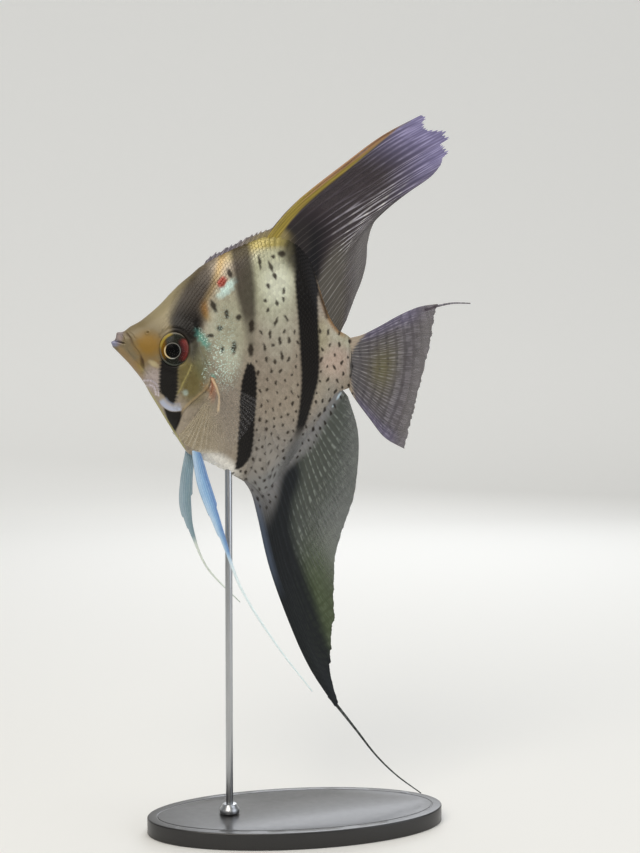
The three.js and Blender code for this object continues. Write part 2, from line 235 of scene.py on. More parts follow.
def setStage():
    scene = bpy.context.scene
    scene.view_settings.view_transform = "Standard"
    world = bpy.data.worlds.new("studio")
    world.use_nodes = True
    sky = world.node_tree.nodes["Background"]
    fillInputs(world.node_tree, sky, {"Color": hexColour(stage["sky"]), "Strength": stage["skyStrength"]})
    scene.world = world
    for name, spot, size, watts, tint in lights:
        bpy.ops.object.light_add(type="AREA", location=spot)
        lamp = bpy.context.object
        lamp.name = name
        lamp.data.size = size
        lamp.data.energy = watts
        lamp.data.color = hexColour(tint)[:3]
        toFish = np.array([0, 0, 0.16]) - np.array(spot)
        lamp.rotation_euler = (
            math.atan2(math.hypot(toFish[0], toFish[1]), -toFish[2]),
            0,
            math.atan2(toFish[1], toFish[0]) - math.pi / 2,
        )
    # the floor runs up behind in one sweep
    bend = stage["bend"]
    profile = [(stage["near"], 0.0), (stage["back"] - bend, 0.0)]
    for step in range(1, stage["bendSteps"] + 1):
        turn = step / stage["bendSteps"] * math.pi / 2
        profile.append((stage["back"] - bend + bend * math.sin(turn), bend - bend * math.cos(turn)))
    profile.append((stage["back"], stage["tall"]))
    points = [(x, y, z) for y, z in profile for x in (-stage["half"], stage["half"])]
    quads = [(2 * i, 2 * i + 1, 2 * i + 3, 2 * i + 2) for i in range(len(profile) - 1)]
    sweep = buildMesh("studioSweep", points, [quads])
    material, tree, shader = newMaterial("paperSweep")  # matt paper, hardly any gloss
    # it looks evenly pale further back, without lighting the fish any more
    path = addNode(tree, "LightPath", {}, {}, "Is Camera Ray").node.outputs
    seen = path["Is Camera Ray"]
    for ray in ("Is Glossy Ray", "Is Transmission Ray"):
        seen = addNode(tree, "Math", {"operation": "MAXIMUM"}, {0: seen, 1: path[ray]})
    where = addNode(tree, "TexCoord", {}, {}, "Object")
    depth = addNode(tree, "SeparateXYZ", {}, {0: where}, "Y")
    far = addNode(tree, "MapRange", eased, {"Value": depth, "From Max": 1.6, "To Min": 0.12, "To Max": 0.5})
    fillInputs(tree, shader, {
        "Base Color": hexColour(stage["floor"]), "Roughness": 0.9, "Emission Color": hexColour(stage["glow"]),
        "Emission Strength": addNode(tree, "Math", product, {0: seen, 1: far}),
    })
    sweep.data.materials.append(material)


setCamera()
setStage()
print("stage ready")

# the body's form, in the same named values as the solids
back = through([
    (lipS, 0.6), (1.2, 2.3), (2.2, 3.2), (4.4, 3.5), (5.6, 4.2), (7.4, 5.6), (11.5, 7.9), (15.7, 11.2),
    (20, 15.1), (24, 19.4), (28.1, 23.5), (32.3, 27.2), (36.4, 30.7), (44.8, 35.6), (57.4, 41.3), (64, 43.6),
    (72.2, 43.6), (78.5, 40), (83.6, 32.9), (88.8, 17), (91.8, 9.4), (95.7, 4.4), (101, 1.6),
])
belly = through([
    (lipS, -1.6), (0.8, -3.4), (3.2, -5.9), (7.3, -10.3), (11.4, -15.7), (17.5, -25.7), (29.8, -45.8),
    (33, -48.6), (38.2, -50.6), (50.8, -57.4), (57.1, -61.4), (61.5, -65.4), (65, -64.5), (69.9, -58.3),
    (87.1, -33.7), (93, -24.5), (97, -21.4), (101, -20.6),
])
fullWidth = through([
    (lipS, 1.2), (2, 2.3), (7, 4), (14, 6), (22, 7.7), (32, 8.8), (44, 8.8), (58, 7.5), (72, 5.7), (86, 4),
    (96, 2.9), (101, 2),
])
widest = through([(lipS, -0.5), (8, -1.5), (20, -4), (32, -8), (50, -9), (75, -8.5), (101, -9.6)])
form = {"flankPower": 2.1, "edgePower": 0.62, "coat": 0.28 * mm, "bareCoat": 0.06 * mm, "endS": 101.0}


def edgeShare(share):
    return np.maximum(1 - share ** form["flankPower"], 0) ** form["edgePower"]


def halfWidth(s, h):  # metres
    middle = widest(s)
    reach = np.where(h > middle, back(s) - middle, middle - belly(s))
    return fullWidth(s) * unit * edgeShare(np.clip(np.abs(h - middle) / reach, 0, 1))


def fromLine(s, h, points):  # mm from a smooth line, signed by side, and the share along it
    knots = [(i / (len(points) - 1), p[0], p[1]) for i, p in enumerate(points)]
    steps = 10 * len(points)
    way = line(knots)(np.linspace(0, 1, steps + 1))
    best = np.full(np.shape(s), 1e9)
    signed = np.zeros(np.shape(s))
    along = np.zeros(np.shape(s))
    for i in range(steps):
        a, b = way[:, i], way[:, i + 1]
        d = b - a
        t = np.clip(((s - a[0]) * d[0] + (h - a[1]) * d[1]) / (d @ d), 0, 1)
        offS, offH = s - a[0] - t * d[0], h - a[1] - t * d[1]
        away = np.hypot(offS, offH)
        nearer = away < best
        best = np.where(nearer, away, best)
        signed = np.where(nearer, np.sign(d[0] * offH - d[1] * offS) * away, signed)
        along = np.where(nearer, (i + t) / steps, along)
    return signed * unit / mm, along


# mm but for s, h and tall
eye = {"s": 25.2, "h": -3.8, "tall": 1.1, "depth": 3.8, "stands": 1.9, "seen": 5.3}
gillEdge = [
    (33.2, 9), (33.8, 4), (35.2, -3), (37.8, -9.5), (40, -15), (38.6, -19.5), (34.6, -23.4), (30.6, -27),
    (27.4, -31.5), (25.2, -38),
]
cheekEdge = [(32.8, -4), (32.2, -9.5), (30, -16), (27.4, -21.5), (24.2, -26)]
mouthLine = [(-2.5, 0.2), (-0.4, -0.2), (2.4, -0.7), (5.2, -1.5)]
longFold = [(5, 3.7), (6.4, 2), (7.3, 0.9), (7.9, -0.7), (8.8, -2.7), (10.6, -5), (11.8, -7.3), (12.4, -9.4)]
frills = [  # wavy edges of the membrane under the cheek
    [(12.8, -16.8), (15.3, -16.6), (17.4, -17.8), (18.6, -20), (18.7, -22.8)],
    [(13.8, -18.8), (15.8, -18.6), (17.2, -20), (17.7, -22.4)],
]
folds = [  # line, depth in mm, width in mm, and the ridge in front of it
    (longFold, 0.26, 0.3, 0.15),
    ([(3.6, 2.6), (4.5, 1.2), (4.9, -0.2), (4.6, -1.4)], 0.16, 0.22, 0.1),
    ([(6.6, 3.6), (8.2, 2.2), (9.2, 0.4)], 0.1, 0.25, 0.08),
    ([(5.4, -3.6), (8, -7), (10.8, -10.2), (14, -13.8), (17.5, -19.6)], 0.16, 0.35, 0.16),
    ([(12.4, -7.6), (12.3, -9.4), (12.9, -11.4)], 0.28, 0.26, 0.05),
    (frills[0], 0.16, 0.26, 0.16),
    (frills[1], 0.14, 0.24, 0.12),
]


def eyeAway(s, h):  # mm from the eye's middle, the opening being a little taller than wide
    return np.hypot((s - eye["s"]) / 0.96, (h - eye["h"]) / (1.03 * eye["tall"])) * unit / mm


# mm, and each lid's height, place and width
socket = {"deep": 3.4, "floor": 3.9, "lids": ((0.34, 5.75, 0.42), (0.25, 7.2, 1.6))}
nostril = {"s": 14.2, "h": 3.2, "deep": 0.5, "wide": 0.3, "rim": 0.1, "rimAt": 0.6, "rimWide": 0.25}
# s, h, half sizes and mm of the hollow before the eye, the cheek and the pectoral fin's fleshy root
swells = [
    (14, 1.5, 5, 4, -0.35), (17.5, -14, 4, 5, 0.3), (40.2, -20.5, 1.5, 4.2, 0.75),
]


def relief(s, h):  # how far the skin stands out from the plain form, in mm
    away = eyeAway(s, h)
    d = -socket["deep"] * (1 - smooth(socket["floor"], eye["seen"] + 0.12, away))
    for high, at, wide in socket["lids"]:
        d += high * peak(away - at, wide)
    edge, along = fromLine(s, h, gillEdge)  # the gill cover is on the line's right
    step = np.where(
        edge < 0, 0.42 * np.exp(-np.maximum(-edge, 0) / 2.4), -0.3 * peak(np.maximum(edge, 0), 0.7)
    )
    d += ends(along, 0.12, 0.9) * smooth(46, 38, s) * step
    edge, along = fromLine(s, h, cheekEdge)
    d += ends(along, 0.15, 0.85) * (0.16 * peak(edge + 0.45, 0.5) - 0.16 * peak(edge - 0.25, 0.3))
    gap = fromLine(s, h, mouthLine)[0]
    deep = np.minimum(0.8, 0.4 * fullWidth(s) * unit / mm)
    d += smooth(5.4, 4.2, s) * (0.24 * peak(np.abs(gap) - 0.7, 0.42) - deep * peak(gap, 0.17))
    d += -0.8 * smooth(98.2, 101, s)  # the tail's root thins into the fin
    for points, deep, wide, ridge in folds:
        off, along = fromLine(s, h, points)
        d += ends(along, 0.12, 0.88) * (ridge * peak(off - 1.8 * wide, 1.2 * wide) - deep * peak(off, wide))
    away = np.hypot(s - nostril["s"], h - nostril["h"]) * unit / mm
    d += nostril["rim"] * peak(
        away - nostril["rimAt"], nostril["rimWide"]
    ) - nostril["deep"] * peak(away, nostril["wide"])
    for atS, atH, wide, tall, high in swells:
        d += high * np.exp(-(((s - atS) / wide) ** 2) - ((h - atH) / tall) ** 2)
    return d


brow = [(30, 32), (25.5, 20), (21, 9), (18.8, 2), (18.6, -6), (17, -10.5), (12.5, -12.5), (8, -13)]
throat = [(10, -24), (19.5, -21.5), (24, -27), (27.4, -31.5), (28, -40), (30, -50)]


def bareness(s, h, ease=0.3):  # 1 where the skin is bare, 0 where scales cover it, eased over so many mm
    face = smooth(-ease, 0.5, -fromLine(s, h, brow)[0])
    under = smooth(-ease, 0.5, -fromLine(s, h, throat)[0]) * smooth(32.5, 31.5, s)
    around = smooth(6.6 + ease, 6.4, eyeAway(s, h))
    return np.clip(face + under + around, 0, 1)


# the fish's markings, shared by skin and coat
bars = {  # s and h of the middle and half width, from the top down
    "first": [
        (36.7, 30.4, 4.5), (36, 24.6, 5.8), (33.4, 18.9, 6.2), (30.6, 13.1, 5.8), (30.2, 8.2, 6.5),
        (29.9, 4, 5.7), (28.2, 0.5, 5.4), (25, -3.6, 4.5), (22.9, -11.5, 3.8), (22.7, -16.4, 3.8),
        (22.7, -20.5, 3.7), (22.8, -24, 3), (22.8, -26, 2.4),
    ],
    "throat": [
        (24.4, -27.6, 3.7), (24.7, -29.5, 3.4), (25, -33, 2.5), (25.1, -37.2, 0.9), (25.1, -38.8, 0.3),
    ],
    "second": [
        (52.8, 41, 3.9), (53.5, 33, 4.2), (54.3, 26.4, 4.2), (54.8, 19.8, 4.1), (55.4, 14.9, 3.5),
        (56, 9, 2.8), (56.6, 0, 1.7),
    ],
    "secondLow": [
        (56.2, -8.6, 0.9), (56.3, -12.4, 2.2), (56, -16.5, 3.1), (55.5, -24.8, 3.5), (55.1, -33, 3.3),
        (54.6, -41.5, 3.3), (54, -48, 2.9), (52.8, -51.4, 2.1), (51.5, -53.7, 1),
    ],
    "third": [
        (80.3, 43.5, 6), (80.3, 37.5, 5.8), (80.5, 31.3, 5.4), (80.9, 16.8, 4.7), (81.4, 6.3, 4.4),
        (81.9, -4.1, 4.3), (82, -15.8, 3.8), (80.6, -25, 2.9), (78.9, -33.4, 2.2), (77, -40.1, 1.7),
        (75.3, -46, 2.1), (73.4, -52, 2.6), (71.5, -58, 3.2),
    ],
}
crescent = [(18.6, -24.6), (20.5, -27.3), (23.1, -28.9), (25.3, -29.2), (28.4, -28.9)]
ochre = [(46.5, 37), (44.9, 32.9), (43.4, 28), (41, 22.4), (38.4, 18.1), (37, 14), (37.8, 10.7), (39, 7.4)]
# where the skin gives way to the tail's web: s by h
tailRootEdge = through(
    [(-24, 101.7), (-18.5, 100.4), (-10.9, 99.6), (-5, 100.8), (-0.7, 103.4), (2.7, 106.6), (7, 112)]
)
# single marks of the left flank and, a little further back, of the right: s, h, width, length, lean
marks = [
    (60.9, 32.3, 1.1, 5.9, -0.1), (65.5, 30.6, 1.4, 4.6, -0.35), (67.1, 26.7, 1.4, 3, -0.5),
    (64.2, 22.5, 1.3, 2.4, -0.5), (70.9, 20.5, 1.1, 2.8, 0.2), (67.9, 15.4, 1.1, 2.8, -0.3),
    (70.6, 17, 0.9, 2.3, -0.4), (62.9, 16.3, 1.4, 1.6, 0), (63.9, 12.4, 1.1, 2, 0.5),
    (67.4, 7.6, 1.1, 4, 0.4), (71.8, 9.2, 1.1, 2.8, -0.5), (64.8, 2.3, 1.2, 3.5, 0),
    (62.5, -3, 1.1, 3.2, -0.1), (66, -2, 1.5, 1.5, 0), (69, -0.2, 1.3, 3.2, -0.1), (73, 0, 1.3, 2.5, 0),
    (69.9, -6.6, 1.2, 3.8, -0.1), (63.2, -8, 1.2, 2.3, 0), (66.9, -9, 1.2, 2, -0.2),
    (72.7, -8, 1.1, 2.5, 0.5), (57, 5.8, 2.1, 5.2, 0), (56.6, -4, 2.2, 5.4, 0), (48.3, 27.6, 1.7, 4, -0.4),
    (41.3, 13.9, 1.9, 5.2, -0.4), (46.6, 10.7, 1.6, 3.8, -0.1), (51.6, 9.4, 2, 2.6, 0),
    (43.8, 4.8, 2, 2.2, 0.4), (49.5, -3, 1.9, 5, 0.1), (44.7, -3.9, 1.3, 2.6, 0.1), (39.7, 1.8, 2.6, 1.6, 0),
    (70.2, 36, 2.9, 2.8, 0), (66.7, 34.7, 1.4, 1.4, 0),
]


def barAcross(s, h, name, soft):
    points = bars[name]
    knots = sorted((-p[1], p[0], p[2]) for p in points)
    middle = through([(k[0], k[1]) for k in knots])(-h)
    wide = through([(k[0], k[2]) for k in knots])(-h)
    off = np.abs(s - middle)
    return smooth(wide + soft, wide - soft, off)


def scatterMarks(side):  # many and small low down, few and long above
    made = [(s + (0.4 if side > 0 else 0), h, 1.1 * w, 1.05 * l, lean) for s, h, w, l, lean in marks]
    tries = 0
    while len(made) < 380 and tries < 24000:
        tries += 1
        s, h = rng.uniform(40, 101), rng.uniform(-72, 4)
        low = np.clip((6 - h) / 60, 0, 1)
        inBar = max(barAcross(s, h, "third", 0.6), barAcross(s, h, "secondLow", 0.6))
        ahead = s < 59 and h > -40
        few = 0.06 if ahead else 0.4 + 0.6 * low
        if s > 84:
            few = 0.9
        near = any((s - m[0]) ** 2 + ((h - m[1]) / 1.3) ** 2 < (3.6 - 1.5 * low) ** 2 for m in made)
        if h < -50:
            few = 0.45
        if rng.random() > few or near or inBar > 0.05 or s < 46 + 0.2 * h + 12:
            continue
        if s < 57 and h > -54 or not belly(s) - 5.5 * smooth(56, 62, s) < h < back(s) - 1.5:
            continue
        wide = rng.uniform(0.75, 1.3)
        made.append((s, h, wide, wide * rng.uniform(1.2, 2.5 - low), rng.uniform(-0.6, 0.5)))
    return made


flankMarks = {name: scatterMarks(side) for name, side in sides.items()}


def blob(s, h, atS, atH, wide, tall, lean=0.0, soft=0.5):
    ds, dh = s - atS, h - atH
    across = ds * math.cos(lean) - dh * math.sin(lean)
    up = ds * math.sin(lean) + dh * math.cos(lean)
    away = np.hypot(across / wide, up / tall)
    return smooth(1 + soft, 1 - soft, away)


def spots(s, h, side):
    dark = np.zeros(np.shape(s))
    # the edges of the spots are a little ragged
    s = s + 0.14 * np.sin(2.3 * h + 1.1 * s)
    h = h + 0.14 * np.sin(1.9 * s - 1.3 * h)
    for atS, atH, wide, tall, lean in flankMarks[side]:
        near = np.abs(s - atS) < 4
        if near.any():
            dark[near] = np.maximum(
                dark[near], blob(s[near], h[near], atS, atH, wide / 2, tall / 2, lean, 0.4)
            )
    return dark


patches = {  # parts of each: share, s, h, half width, half height, lean, softness and, for some, how ragged
    "gold": [
        (1, 65, 44.5, 12, 4.6, -0.1, 0.6), (0.4, 87, 2, 4, 7, 0.2, 0.6),
        (0.6, 11.3, -12, 1.3, 2.6, -0.4, 0.6),
    ],
    "shoulder": [(1, 76, 37.5, 5.2, 8, 0.1, 0.45)],
    "cream": [(1, 66, 27, 10.5, 18, 0, 0.55), (0.6, 48, 6, 9, 17, 0.1, 0.6), (0.5, 98, 0.5, 6, 4, 0.2, 0.6)],
    "belly": [(1, 43, -52.6, 9.5, 5, 0.45, 0.4)],
    "forehead": [(1, 24.5, 17.5, 8.8, 12.5, 0.7, 0.5)],
    "goldPatch": [
        (1, 14.6, -2, 5.4, 4.8, 0.25, 0.6, 0.5), (0.5, 10.8, -9.8, 3.4, 2.2, -0.5, 0.6, 0.5),
        (0.5, 17.8, -9.8, 1.8, 2, 0, 0.6),
    ],
    "palePatch": [(1, 16.7, -9.8, 2.2, 1, 0.55, 0.6, 0.2)],
    # slitShadow: a painted shadow, dark olive-brown, in the slit of the fold behind the jaw
    "slitShadow": [(1, 12.1, -9.3, 0.75, 2.4, -0.25, 0.5)],
    # creaseShade: painted shade in the small fold beside the mouth
    "creaseShade": [(0.7, 4.2, 0.6, 0.4, 1.3, -0.4, 0.6)],
    "pink": [(0.9, 16, -16.5, 3.4, 5.4, 0.35, 0.6)],
    "olive": [(1, 31, -15.5, 6, 10.5, -0.25, 0.5), (0.6, 12.4, 4.8, 3.8, 2.6, 0.6, 0.6)],
    "haze": [(1, 36, -7.5, 3.4, 9, -0.1, 0.6)],
    "eyeShade": [(1, 31.8, -1.2, 3.2, 7.2, 0, 0.5)],
    # pearlAndHighlight: partly pale silver, partly a painted highlight, brightest on the upper flank between
    # the second and third bars
    "pearlAndHighlight": [
        (0.95, 68, 24, 6, 7.5, 0, 0.7), (0.3, 69, 8, 8, 16, 0, 0.6), (0.35, 48, -7, 4, 6.5, 0, 0.7),
        (0.3, 40.5, 6, 2.4, 6, 0.2, 0.6), (0.2, 88.5, 0.5, 5, 7, 0.3, 0.6), (0.1, 88, -20, 5, 10, 0.4, 0.6),
    ],
    "blush": [(1, 92.5, -9, 5.5, 6.5, 0, 0.7)],
    "turquoise": [(1, 36.6, 0.2, 1.5, 4.2, -0.6, 0.6, 0.6), (1, 41.2, -15.8, 0.9, 2, -0.5, 0.6)],
    # cyanAndGlint: a cyan-white patch under the red spot, and a painted glint low on the cheek
    "cyanAndGlint": [(1, 46.9, 21.3, 2, 5, 0.75, 0.5, 0.9), (0.6, 29.5, -21.6, 0.95, 1.1, 0, 0.7)],
    # paintedGlint: where the scales carry painted glints
    "paintedGlint": [
        (1, 44.6, -10, 5.6, 8.2, -0.1, 0.7), (0.3, 46, 3, 4.5, 10, 0, 0.7),
        (0.7, 37.4, 0.4, 1.6, 4.4, -0.6, 0.7),
    ],
    "orange": [
        (1, 37.3, 13, 1.5, 3.6, -0.1, 0.7), (0.6, 37.8, -19.5, 3, 0.8, 0.8, 0.6),
        (0.7, 3.1, 0.9, 0.45, 1.1, -0.3, 0.6),
    ],
    "red": [(1, 45, 23.9, 1.75, 2.5, 0.45, 0.35, 0.25)],
    "pectoralRoot": [(1, 41, -20.5, 1.4, 4.4, 0.1, 0.6)],
}
glintLine = [(39, -9.5), (36.9, -14), (36.5, -18.6)]
cheekRidge = [(32.1, -9.2), (31.1, -12.3), (29.2, -16.2), (27.4, -20), (25.8, -22.8)]
thirdBarEdge = [(85, 23), (87.1, 17.8), (88.8, 13.6), (89.7, 9.8)]
rearOutline = [(84, 32), (88.8, 17), (91.8, 9.4), (95.7, 4.4), (101, 1.6)]


def barMarks(s, h, smile):  # soft, beside the eye and dark
    under = back(s) - h
    low, lowFirst = smooth(-35, -43, h), smooth(5, -4, h)
    ragged = s + 0.22 * smooth(-4, -10, h) * (np.sin(4.1 * h) + 0.6 * np.sin(7.7 * h + 1))
    wavy = s + 0.12 * np.sin(2.9 * h)
    topCut = smooth(-9, -10.2, h + 0.45 * np.sin(5.3 * s))
    first = barAcross(ragged, h, "first", 0.75 + 2.4 * smooth(-6, 14, h)) * smooth(1.9, 2.7, smile)
    throat = barAcross(s, h, "throat", 0.5) * smooth(0.05, -0.4, smile)
    second = barAcross(s, h, "second", 1.6) * lerp(0.5 * smooth(-8, 0, h), 1, smooth(2, 12, h))
    secondLow = barAcross(s + 0.16 * np.sin(2.9 * h), h, "secondLow", 0.45) * topCut * smooth(-54.6, -53.4, h)
    third = barAcross(wavy, h, "third", 0.7 + 1.5 * low + 2.2 * smooth(22, 37, h)) * lerp(1, 0.45, low)
    soft = first * (1 - lowFirst) * lerp(
        0.98, 0.6, smooth(3.6, 0.4, under)
    ) * lerp(1, 0.8, smooth(20, 30, h)) + second * 0.88
    dark = first * lowFirst + throat + secondLow + third + 0.8 * peak(fromLine(s, h, thirdBarEdge)[0], 0.7)
    return soft, first * smooth(20, 6, h) * (1 - lowFirst), dark


def markings(s, h, side):
    s, h = np.asarray(s, float), np.asarray(h, float)
    under, keel = back(s) - h, h - belly(s)
    rough = 0.5 * np.sin(1.9 * s + 1.1 * h) + 0.5 * np.sin(1.3 * s - 2.3 * h)  # breaks up the patches' edges
    smile, along = fromLine(s, h, crescent)
    gill, onGill = fromLine(s, h, gillEdge)
    fold, onFold = fromLine(s, h, longFold)
    ridge, onRidge = fromLine(s, h, cheekRidge)
    values = {}
    for name, parts in patches.items():
        values[name] = sum(p[0] * blob(s + sum(p[7:]) * rough, h, *p[1:7]) for p in parts)
    foldGap = smooth(0.4, 0.55, onFold) * smooth(0.9, 0.7, onFold)
    values["gold"] += 0.85 * smooth(8, 3, under) * smooth(42, 53, s) * smooth(80, 73, s)
    # painted shade along the long fold's groove, broken in its middle
    values["creaseShade"] += peak(fold, 0.36) * smooth(0.02, 0.1, onFold) * (1 - 0.75 * foldGap)
    # more painted glints along a line behind the gill cover
    values["paintedGlint"] += 0.8 * peak(fromLine(s, h, glintLine)[0], 0.6)
    values["barSoft"], values["barEye"], values["barDark"] = barMarks(s, h, smile)
    nearRear = smooth(2.6, 0.8, np.abs(fromLine(s, h, rearOutline)[0]))
    nearKeel = smooth(15, 2, keel) * smooth(60, 66, s) * smooth(99, 88, s)
    waver = 0.12 * np.sin(5 * s - 4 * h)
    values.update({
        "spot": spots(s, h, side),
        "rearEdge": nearRear * smooth(85, 88, s) * smooth(99.5, 95, s),
        "keelGrey": 0.6 * smooth(-26, -46, h) * smooth(50, 58, s)
        + 0.4 * smooth(-52, -62, h) + 0.5 * nearKeel,
        "face": smooth(31, 22, s - 0.35 * (h + 2)) * smooth(-18, -6, h),
        "jaw": smooth(5, 1.4, keel) * smooth(1.4, 3.5, s) * smooth(-0.8, -2.2, h) * smooth(20, 12, s),
        "lips": smooth(4.8, 3.2, s - 0.25 * h) * smooth(-2.8, -1.6, h),
        "lowLip": smooth(3.2, 1, s) * smooth(0.2, -0.5, h) * smooth(-3.4, -2, h),
        "frill": sum(peak(fromLine(s, h, f)[0] + waver, 0.3) for f in frills) * smooth(19.6, 18.6, s),
        "gillRim": peak(gill + 0.35, 0.45) * smooth(0.42, 0.5, onGill) * smooth(0.97, 0.85, onGill),
        "paleLine": peak(ridge, 0.28) * ends(onRidge, 0.1, 0.9),
        "ochre": peak(fromLine(s, h, ochre)[0], 1.5) * smooth(6, 10, h),
        "crescent": smooth(-0.25, 0.15, smile) * lerp(
            1, 0.4, smooth(0.9, 2.2, smile)
        ) * smooth(3.2, 2.4, smile) * ends(along, 0.12, 0.9),
        "throatLine": smooth(1.9, 0.8, keel) * smooth(12, 17, s) * smooth(30.5, 29, s),
        "tailFin": smooth(-0.5, 0.6, s - tailRootEdge(h)),
    })
    values = {name: np.clip(data, 0, 1) for name, data in values.items()}
    dark = np.clip(values["barDark"] + values["spot"] + values["barSoft"], 0, 1)
    # the dark bars and the face have little silver under them
    values["silver"] = (1 - dark) * (1 - 0.6 * values["face"])
    return values


def markedColour(tree):  # the colours over one another, from plain silver up to the dark bars
    return paintMarks(tree, paintGrain(tree, grainOf(tree, 2.2 * mm, 4), "#8f8272", "#aea392"), [
        ("cream", "#c3c5a6", 0.8), ("blush", "#ccb5a6", 0.8), ("olive", "#6b6027", 0.85),
        ("haze", "#696d4a", 0.6), ("face", "#74674a", 0.88), ("forehead", "#9a9070", 0.7),
        # pearlAndHighlight is pale silver with a painted highlight
        ("gold", "#98893f", 0.85), ("pearlAndHighlight", "#eef0da", 0.85), ("rearEdge", "#a57a48", 0.75),
        ("keelGrey", "#787c7f", 0.8), ("goldPatch", "#8f6c26", 0.85), ("jaw", "#a0845c", 0.7),
        ("pink", "#b9acab", 0.8), ("palePatch", "#b8ab86", 0.85), ("ochre", "#a88a4c", 0.7),
        # cyanAndGlint is partly a painted glint
        ("orange", "#98682a", 0.75), ("belly", "#fbf8f0", 0.96), ("cyanAndGlint", "#cfe9e2", 0.85),
        ("pectoralRoot", "#b0684e", 0.6), ("lips", "#7d7276", 0.75), ("lowLip", "#8c90ac", 0.8),
        # slitShadow and creaseShade are painted shade in the jaw's slit and folds
        ("frill", "#ded4df", 0.85), ("slitShadow", "#453718", 0.75), ("creaseShade", "#4e382c", 0.6),
        ("shoulder", "#47422f", 0.85), ("eyeShade", "#35342a", 0.85), ("barSoft", "#281d17", 0.96),
        ("barEye", "#0e0a07", 0.97), ("paleLine", "#b4a868", 0.75), ("gillRim", "#b29a70", 0.68),
        ("turquoise", "#5fae9f", 0.7), ("red", "#8f2c1c", 0.95), ("spot", "#241b12", 0.93),
        ("tailFin", "#5c5a58", 0.85), ("barDark", "#0b0909", 0.99), ("crescent", "#bcc5dc", 0.85),
        ("throatLine", "#b0a972", 0.8),
    ])


# skin: one closed surface over the whole body
skinGrid = {
    "quarter": 90,  # points from the widest line to the outline
    "crowd": 1.2,  # how they crowd towards the outline
    # rings of each length and where it ends
    "mouth": 44, "mouthEnd": 7, "head": 150, "headEnd": 44, "trunk": 62,
    "cap": 0.9, "tailCap": 0.5, "closing": (0.08, 0.3, 0.52, 0.72, 0.88, 0.97),  # rings that close both ends
    "lipBack": 0.85,
}


def ringQuads(index):  # joins rings of points
    low, high = index[:-1], index[1:]
    return np.stack([low, np.roll(low, -1, 1), np.roll(high, -1, 1), high], -1).reshape(-1, 4)


unwrap = {"from": 0.02, "span": 0.96}


def unwrapU(s):
    return s / form["endS"] * unwrap["span"] + unwrap["from"]


def makeSkin():
    quarter = skinGrid["quarter"]
    t = np.arange(quarter + 1) / quarter
    share = np.sin(math.pi / 2 * t ** skinGrid["crowd"])
    shares = np.concatenate([share, share[-2::-1], share[1:], share[-2:0:-1]])
    upward = np.concatenate([np.ones(2 * quarter + 1), -np.ones(2 * quarter - 1)])
    side = np.concatenate([-np.ones(quarter + 1), np.ones(2 * quarter), -np.ones(quarter - 1)])
    around = 4 * quarter
    startS = lipS + skinGrid["cap"] + 0.25
    stations = np.concatenate([
        np.linspace(startS, skinGrid["mouthEnd"], skinGrid["mouth"], endpoint=False),
        np.linspace(skinGrid["mouthEnd"], skinGrid["headEnd"], skinGrid["head"], endpoint=False),
        np.linspace(skinGrid["headEnd"], form["endS"], skinGrid["trunk"]),
    ])
    s = np.repeat(stations[:, None], around, 1)
    edge = np.where(upward > 0, back(s), belly(s))
    h = lerp(widest(s), edge, shares[None, :])
    y = side[None, :] * fullWidth(s) * unit * edgeShare(shares)[None, :]
    # the lips close in front and the tail's root behind
    factors = np.array(skinGrid["closing"])[:, None]
    closed = []
    for ring, at, out, factor in (
        (0, startS, -skinGrid["cap"], factors), (-1, form["endS"], skinGrid["tailCap"], factors[::-1])
    ):
        middle = (back(at) + belly(at)) / 2
        closed.append(
            (at + out * np.sqrt(1 - factor**2) + 0 * h[ring],
             middle + factor * (h[ring] - middle), factor * y[ring])
        )
    s, h, y = (np.concatenate([closed[0][i], whole, closed[1][i]]) for i, whole in enumerate((s, h, y)))
    # the upper lip stands back from the lower one
    gap = fromLine(s, h, mouthLine)[0]
    s = s + smooth(-0.1, 0.24, gap) * np.clip(1.8 - s, 0, None) * skinGrid["lipBack"]
    points = place(s, h, y)
    alongBody = np.gradient(points, axis=0)
    aroundBody = np.roll(points, -1, 1) - np.roll(points, 1, 1)
    normal = np.cross(aroundBody, alongBody)
    normal /= np.linalg.norm(normal, axis=-1, keepdims=True) + 1e-12
    outward = normal[100, 0] @ np.array([0, -1, 0])
    normal *= np.sign(outward)
    inset = lerp(form["coat"], form["bareCoat"], bareness(s, h, 4.0))
    points = points + normal * (relief(s, h) * mm - inset)[..., None]
    rows = len(points)
    grid = np.arange(rows * around).reshape(rows, around)
    quads = np.roll(ringQuads(grid)[:, ::-1], 1, 1)
    flat = points.reshape(-1, 3)
    tips = np.stack([points[0].mean(0), points[-1].mean(0)])
    first, last = len(flat), len(flat) + 1
    caps = [np.stack([np.full(around, first), grid[0], np.roll(grid[0], -1)], -1)]
    caps.append(np.stack([np.full(around, last), np.roll(grid[-1], -1), grid[-1]], -1))
    skin = buildMesh("skin", np.concatenate([flat, tips]), [quads, np.concatenate(caps)])
    leftMarks, rightMarks = markings(s, h, "left"), markings(s, h, "right")
    values = {name: np.where(y < 0, leftMarks[name], rightMarks[name]).ravel() for name in leftMarks}
    giveValues(skin, {name: np.concatenate([data, data[[0, -1]]]) for name, data in values.items()})
    u = unwrapU(s).ravel()
    v = np.broadcast_to(np.arange(around) / around, s.shape).ravel()
    uv = np.stack([u, v], -1)
    giveUnwrap(skin, np.concatenate([uv, uv[[0, -1]]]))
    return skin


def wetGloss(tree, silver, wet):
    pale = addNode(tree, "Attribute", {"attribute_name": "silver"}, {}, "Fac")
    return {
        "Metallic": addNode(tree, "Math", product, {0: pale, 1: silver}),
        "Coat Weight": addNode(tree, "Math", product, {0: pale, 1: wet}),
        "Coat Roughness": 0.16, "Specular IOR Level": 0.2,
    }


